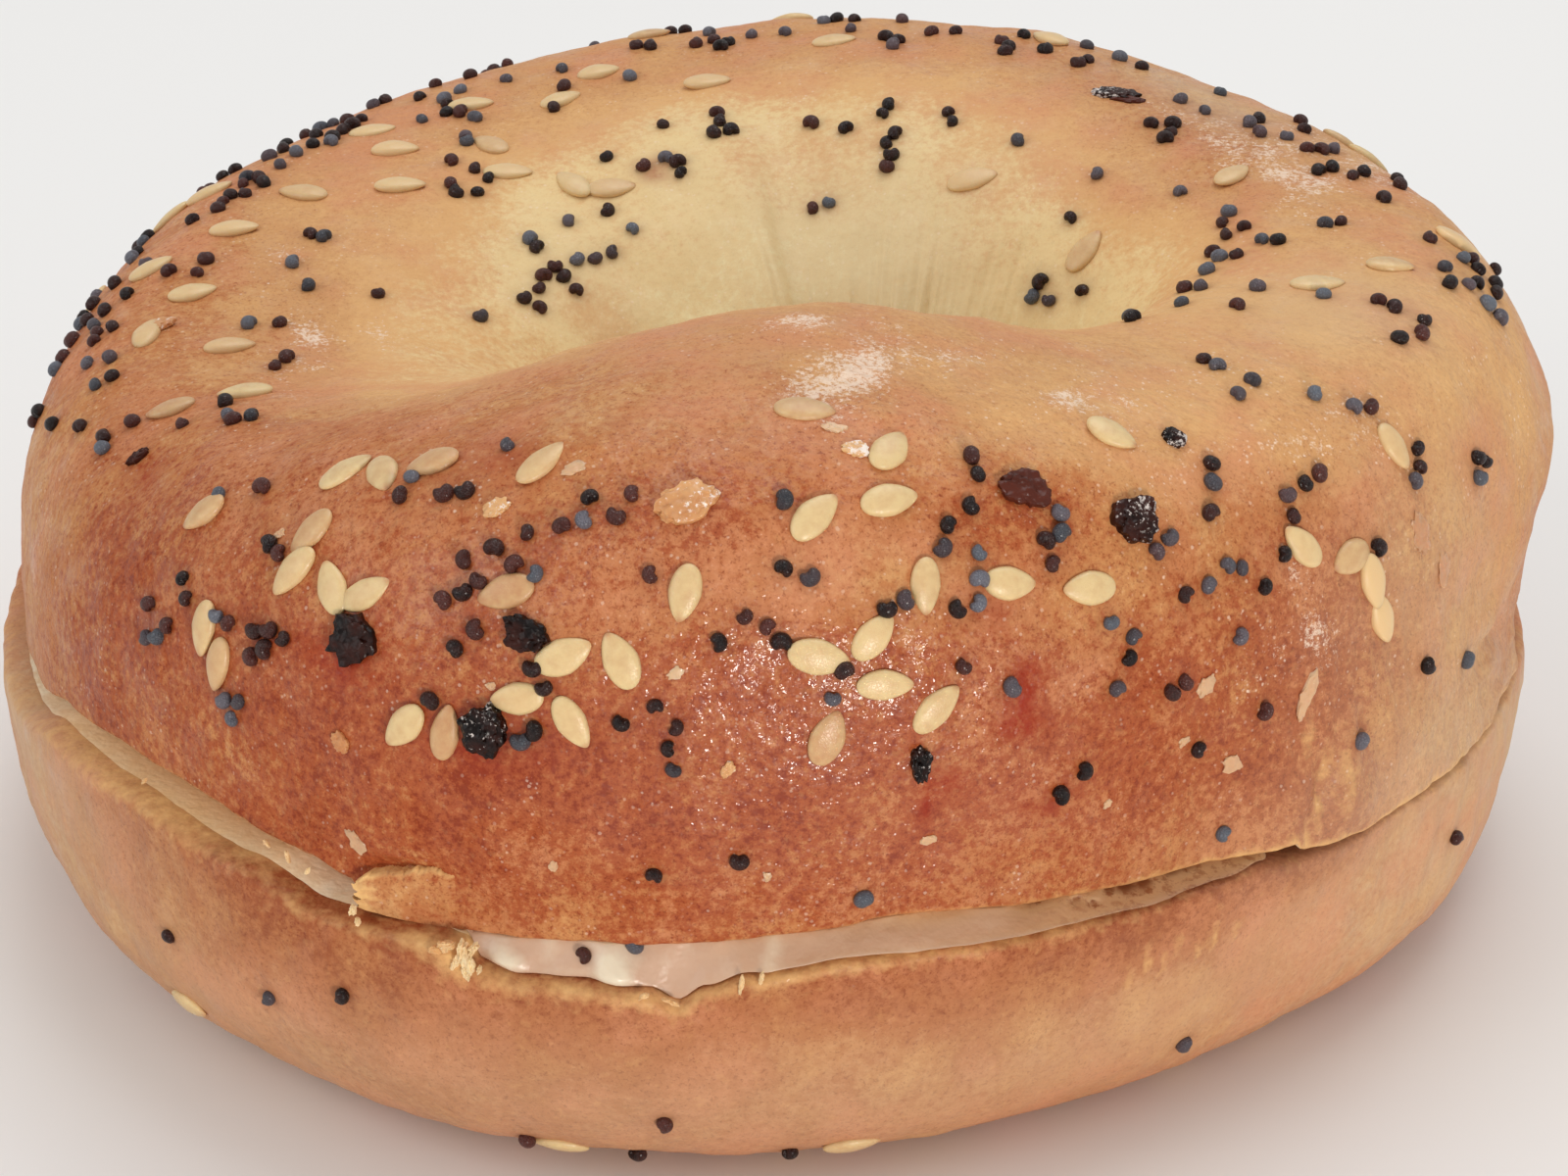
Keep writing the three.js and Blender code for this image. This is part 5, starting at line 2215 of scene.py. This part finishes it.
def chips(rows: Sequence[Row], **same: object) -> list[Chip]:
    """Chips from short rows: azimuth, roll, heading, length, width, thickness, tone and frost."""
    return [Chip(*row, **same) for row in rows]


BURNT = chips((
    (238, 47, 350, 3.2, 2.8, 1.2, 0.16), (251, 50, 335, 2.9, 1.9, 1.1, 0.12),
    (249, 39, 80, 3, 2.5, 1.5, 0, 0.25), (289, 66, 0, 3, 2.3, 0.9, 0.95, 0.1),
    (299, 62, 40, 3.1, 2.6, 1.1, 0.3, 0.35), (280, 36, 95, 2.3, 1.2, 0.9, 0.05, 0.25),
    (204, 60, 25, 1.5, 0.9, 0.6, 0.5), (306, 72, 0, 1.6, 1.3, 0.7, 0.05, 0.4),
    (55, 95, 175, 2.9, 1.6, 0.6, 0.1, 0.4), (53, 95, 170, 2.6, 0.9, 0.4, 0.9),
    (85, 50, 120, 3, 2.3, 0.9, 0.4), (120, 38, 40, 2.8, 2.4, 1, 0.2),
    (45, 48, 200, 3.4, 2.2, 0.9, 0.7),
))
GOLDEN = chips((
    (261, 64, 25, 3.9, 2.4, 0.8, 0.5, 0.3), (246, 63, 20, 1.5, 1.1, 0.35, 0.8, 0.3),
    (274, 71, 10, 1.6, 1.2, 0.35, 0.9, 0.6), (181, 72, 40, 2.2, 1.3, 0.5, 0.5, 0.3),
    (266, 36, 60, 1, 0.7, 0.3, 0.8, 0.2), (238, 34, 120, 1.3, 1, 0.4, 0.3, 0.1),
))
SALT = chips((
    (305, 41, 60, 1.4, 0.9, 0.22, 0.6), (308, 27, 150, 1.7, 1.2, 0.22, 0.6),
    (303, 33, 30, 0.9, 0.6, 0.19, 0.7), (315, 35, 65, 2.6, 1, 0.25, 0.6),
    (251, 68, 20, 1.4, 0.9, 0.22, 0.7), (272, 74, 0, 1.3, 0.9, 0.19, 0.8),
    (249, 44, 0, 0.7, 0.6, 0.19, 0.7), (254, 21, 80, 0.8, 0.5, 0.19, 0.6),
    (269, 20, 100, 0.7, 0.5, 0.15, 0.6), (296, 25, 60, 0.8, 0.5, 0.15, 0.6),
    (262, 47, 30, 1, 0.7, 0.15, 0.9), (239, 19, 110, 1.6, 1.1, 0.15, 0.5),
    (330, 52, 310, 2.4, 1.5, 0.25, 0), (333, 46, 300, 2.2, 1.4, 0.22, 0.1),
    (228, 57, 20, 0.8, 0.6, 0.19, 0.7), (281, 24, 0, 0.9, 0.6, 0.19, 0.7),
), jag=0.6, lumpy=0.4)
CRUMBS = chips((
    (248.3, 6.4, 80, 1.5, 0.75, 0.7, 0.95), (248.7, 4.6, 95, 1.4, 0.6, 0.6, 1),
    (249, 7.2, 65, 0.9, 0.5, 0.6, 1), (247.8, 4.6, 60, 1.2, 0.6, 0.5, 0.75),
    (248.5, 2.6, 110, 0.8, 0.4, 0.4, 0.9), (249.4, 3.6, 75, 0.6, 0.35, 0.4, 1),
    (247.2, 7.2, 30, 1.2, 0.8, 0.5, 0.4), (246.4, 6.2, 10, 1, 0.6, 0.4, 0.15),
    (267.6, 3.4, 85, 1.1, 0.35, 0.4, 0.9), (269, 4.4, 80, 0.7, 0.3, 0.4, 0.9),
    (262.8, 0.6, 150, 1, 0.35, 0.3, 0.5), (261, 1.8, 20, 0.7, 0.35, 0.3, 0.5),
    (232.8, 16.6, 130, 0.7, 0.25, 0.3, 0.7), (234.6, 15.6, 100, 0.8, 0.25, 0.3, 0.7),
    (236.3, 14.2, 60, 0.6, 0.25, 0.3, 0.8), (220.5, 17.6, 40, 0.5, 0.25, 0.3, 0.6),
    (240, 9.8, 80, 0.7, 0.4, 0.4, 0.9), (240.4, 8, 100, 0.6, 0.3, 0.4, 1),
), half=Half.BOTTOM, corners=11, jag=0.7, lumpy=0.34)


# ---- The studio ----


@dataclass(frozen=True)
class Lamp:
    """A soft panel light: where it stands, how large it is, and how bright."""

    name: str
    place: tuple[float, float, float]
    size: float
    power: float
    colour: Colour = (255, 255, 255)


@dataclass
class Studio:
    """A plain pale floor, soft light, and the camera."""

    target: tuple[float, float, float] = (0.8, -4.2, 21.0)
    distance: float = 261.0
    elevation: float = 27.0
    lean: float = 1.71
    lens: float = 96.08
    picture: tuple[int, int] = (1600, 1200)
    centre: tuple[int, int] = (806, 551)  # pixel that the lens points at
    floor_size: float = 6000.0
    lamps: tuple[Lamp, ...] = (
        Lamp("key_light", (160, -450, 34), 60, 0.9, (255, 248, 240)),
        Lamp("fill_light", (-420, -220, 300), 420, 0.6),
        Lamp("top_light", (60, 160, 520), 460, 1.1),
    )
    sky: float = 0.58
    sensor: float = 36.0
    sight: Pair = (0.01, 20.0)  # the nearest and farthest that it shows, in metres

    def build(self) -> None:
        """Builds the floor, the lights and the camera."""
        self._floor()
        self._light()
        self._camera()

    def _floor(self) -> None:
        """Lays the floor."""
        half = self.floor_size * MM / 2
        mesh = bpy.data.meshes.new("floor")
        corners = [(-half, -half, 0), (half, -half, 0), (half, half, 0), (-half, half, 0)]
        mesh.from_pydata(corners, [], [(0, 1, 2, 3)])
        mesh.materials.append(FloorFinish().build())
        place_object("floor", mesh)

    def _light(self) -> None:
        """Hangs the lamps and sets the even light from all round."""
        for lamp in self.lamps:
            light = bpy.data.lights.new(lamp.name, "AREA")
            light.shape = "DISK"
            light.size = lamp.size * MM
            light.energy = lamp.power
            light.color = linear(lamp.colour)[:3]
            holder = place_object(lamp.name, light)
            holder.location = Vector(lamp.place) * MM
            aim = Vector(self.target) * MM - holder.location
            holder.rotation_euler = aim.to_track_quat("-Z", "Y").to_euler()
        world = bpy.data.worlds.new("studio")
        world.use_nodes = True
        backdrop = world.node_tree.nodes["Background"]
        backdrop.inputs["Color"].default_value = (1.0, 1.0, 1.0, 1.0)
        backdrop.inputs["Strength"].default_value = self.sky
        bpy.context.scene.world = world
        bpy.context.scene.view_settings.view_transform = "Standard"

    def _camera(self) -> None:
        """Sets up the camera."""
        lens = bpy.data.cameras.new("camera")
        lens.sensor_width = self.sensor
        lens.lens = self.lens
        wide, tall = self.picture
        lens.shift_x = (wide / 2 - self.centre[0]) / wide
        lens.shift_y = (self.centre[1] - tall / 2) / wide
        lens.clip_start, lens.clip_end = self.sight
        camera = place_object("camera", lens)
        rise = math.radians(self.elevation)
        away = Vector((0.0, -math.cos(rise), math.sin(rise)))
        target = Vector(self.target)
        camera.location = (target + away * self.distance) * MM
        facing = (-away).to_track_quat("-Z", "Y").to_matrix()
        lean = Matrix.Rotation(math.radians(self.lean), 3, "Z")
        camera.rotation_euler = (facing @ lean).to_euler()
        bpy.context.scene.camera = camera


# ---- The bagel ----


def main() -> None:
    """Builds the bagel piece by piece round the frame."""
    logging.basicConfig(level=logging.INFO, format="%(name)s: %(message)s")
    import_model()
    Studio().build()
    crust = Crust()
    toppings = Toppings(crust)
    toppings.scatter()
    counts = len(toppings.sesame_seats), len(toppings.poppy_seats)
    LOG.info("%d sesame seeds, %d poppy seeds", *counts)
    skin = CrustFinish().build()
    under = CrustFinish("bottom_crust_skin", contrast=1.1, dusty=0.06, relief_depth=0.045, tones=(
        (0, (228, 208, 168)), (0.18, (216, 184, 142)), (0.36, (204, 160, 118)),
        (0.54, (190, 130, 88)), (0.72, (172, 102, 60)), (0.88, (148, 74, 38)), (1, (118, 50, 26)),
    )).build()
    crumb = CrumbFinish().build()
    sesame = SeedFinish(
        "sesame_hull", (190, 138, 94), (220, 192, 140), (226, 190, 138), 0.33, 0.004, glow=0.15,
    ).build()
    poppy = SeedFinish(
        "poppy_hull", (16, 7, 7), (84, 42, 36), (118, 126, 138), 0.3, 0.03, shine=0.35,
        cell_scale=6600.0, net=0.1,
    ).build()
    burnt = ChipFinish(
        "burnt_onion", (12, 3, 2), (84, 36, 24), (206, 196, 190), 0.3, 0.1, shine=0.22,
    ).build()
    golden = ChipFinish(
        "golden_garlic", (182, 112, 62), (222, 172, 116), (240, 222, 208), 0.35, 0.06, glow=0.2,
    ).build()
    salt = ChipFinish(
        "glazed_salt", (200, 144, 104), (224, 178, 138), (248, 234, 218), 0.25, 0.05, glow=0.4,
    ).build()
    crumbs = ChipFinish(
        "torn_crumb", (214, 154, 92), (236, 206, 158), (240, 222, 208), 0.6, 0.15, glow=0.2,
    ).build()
    bake = Bake()
    cheese = CreamCheese(crust)
    below = toppings.bottom_seats
    pieces = [
        BreadHalf(
            Half.BOTTOM, "bottom_half", "bottom_crust", crust,
            crust_steps=118, softening=5, lip_width=0.9,
            lips=Rim((
                (20, 0.4), (190, 0.45), (206, 0.6), (236, 0.6), (246, 0.9), (267, 1), (276, 0.75),
                (296, 0.6), (306, 0.3), (320, 0.3),
            )),
            torn=patches([
                (247.6, 5.5, 1, 0.9, 3), (246.6, 5, 0.6, 0.9, 2), (263, 1, 0.7, 1.2, 1.6),
                (285, 6.5, 0.6, 22, 1.8), (222, 13, 0.65, 18, 2.2), (300, -8, 0.45, 0.4, 2.5),
                (301.5, -10, 0.4, 0.3, 2), (303, -7, 0.45, 0.4, 2.2), (305, -11, 0.4, 0.3, 2.4),
                (306.5, -8, 0.5, 0.35, 2.5), (298.5, -11, 0.35, 0.3, 1.8), (309, -9, 0.4, 0.3, 2.2),
            ]),
        ).build([*below["sesame"], *below["poppy"]], [under, crumb]),
        cheese.build(SpreadFinish().build()),
        BreadHalf(
            Half.TOP, "top_half", "top_crust", crust,
            lips=Rim((
                (20, 0.4), (190, 0.35), (236, 0.35), (262, 0.3), (290, 0.6), (312, 0.9), (330, 0.9),
                (345, 0.5),
            )),
            torn=patches([
                (315.6, 5, 0.75, 0.32, 3), (316.6, 12, 0.55, 0.35, 4), (317.4, 20, 0.5, 0.4, 4),
                (315.4, 28, 0.4, 0.5, 4), (318.5, 0.6, 0.5, 2.2, 0.5), (319.2, 17, 0.4, 0.5, 6),
            ]),
        ).build(toppings.taken, [skin, crumb]),
        CrustTongue(crust).build(skin, bake),
        SesameSeeds().build("sesame_seeds", toppings.sesame_seats, "top_crust", sesame, 71),
        SesameSeeds().build("sesame_seeds_below", below["sesame"], "bottom_crust", sesame, 72),
        PoppySeeds().build("poppy_seeds", toppings.poppy_seats, "top_crust", poppy, 73),
        PoppySeeds().build(
            "poppy_seeds_below", [*below["poppy"], *cheese.seats()], "bottom_crust", poppy, 74
        ),
        Chips(crust, "burnt_chips").build(BURNT, burnt, 75),
        Chips(crust, "golden_chips").build(GOLDEN, golden, 76),
        Chips(crust, "salt_flakes", levels=3).build(SALT, salt, 77),
        Chips(crust, "torn_crumbs", "bottom_crust").build(CRUMBS, crumbs, 78),
    ]
    for piece in pieces:
        LOG.info("%s: %d faces", piece.name, len(piece.data.polygons))


if __name__ == "__main__":
    main()
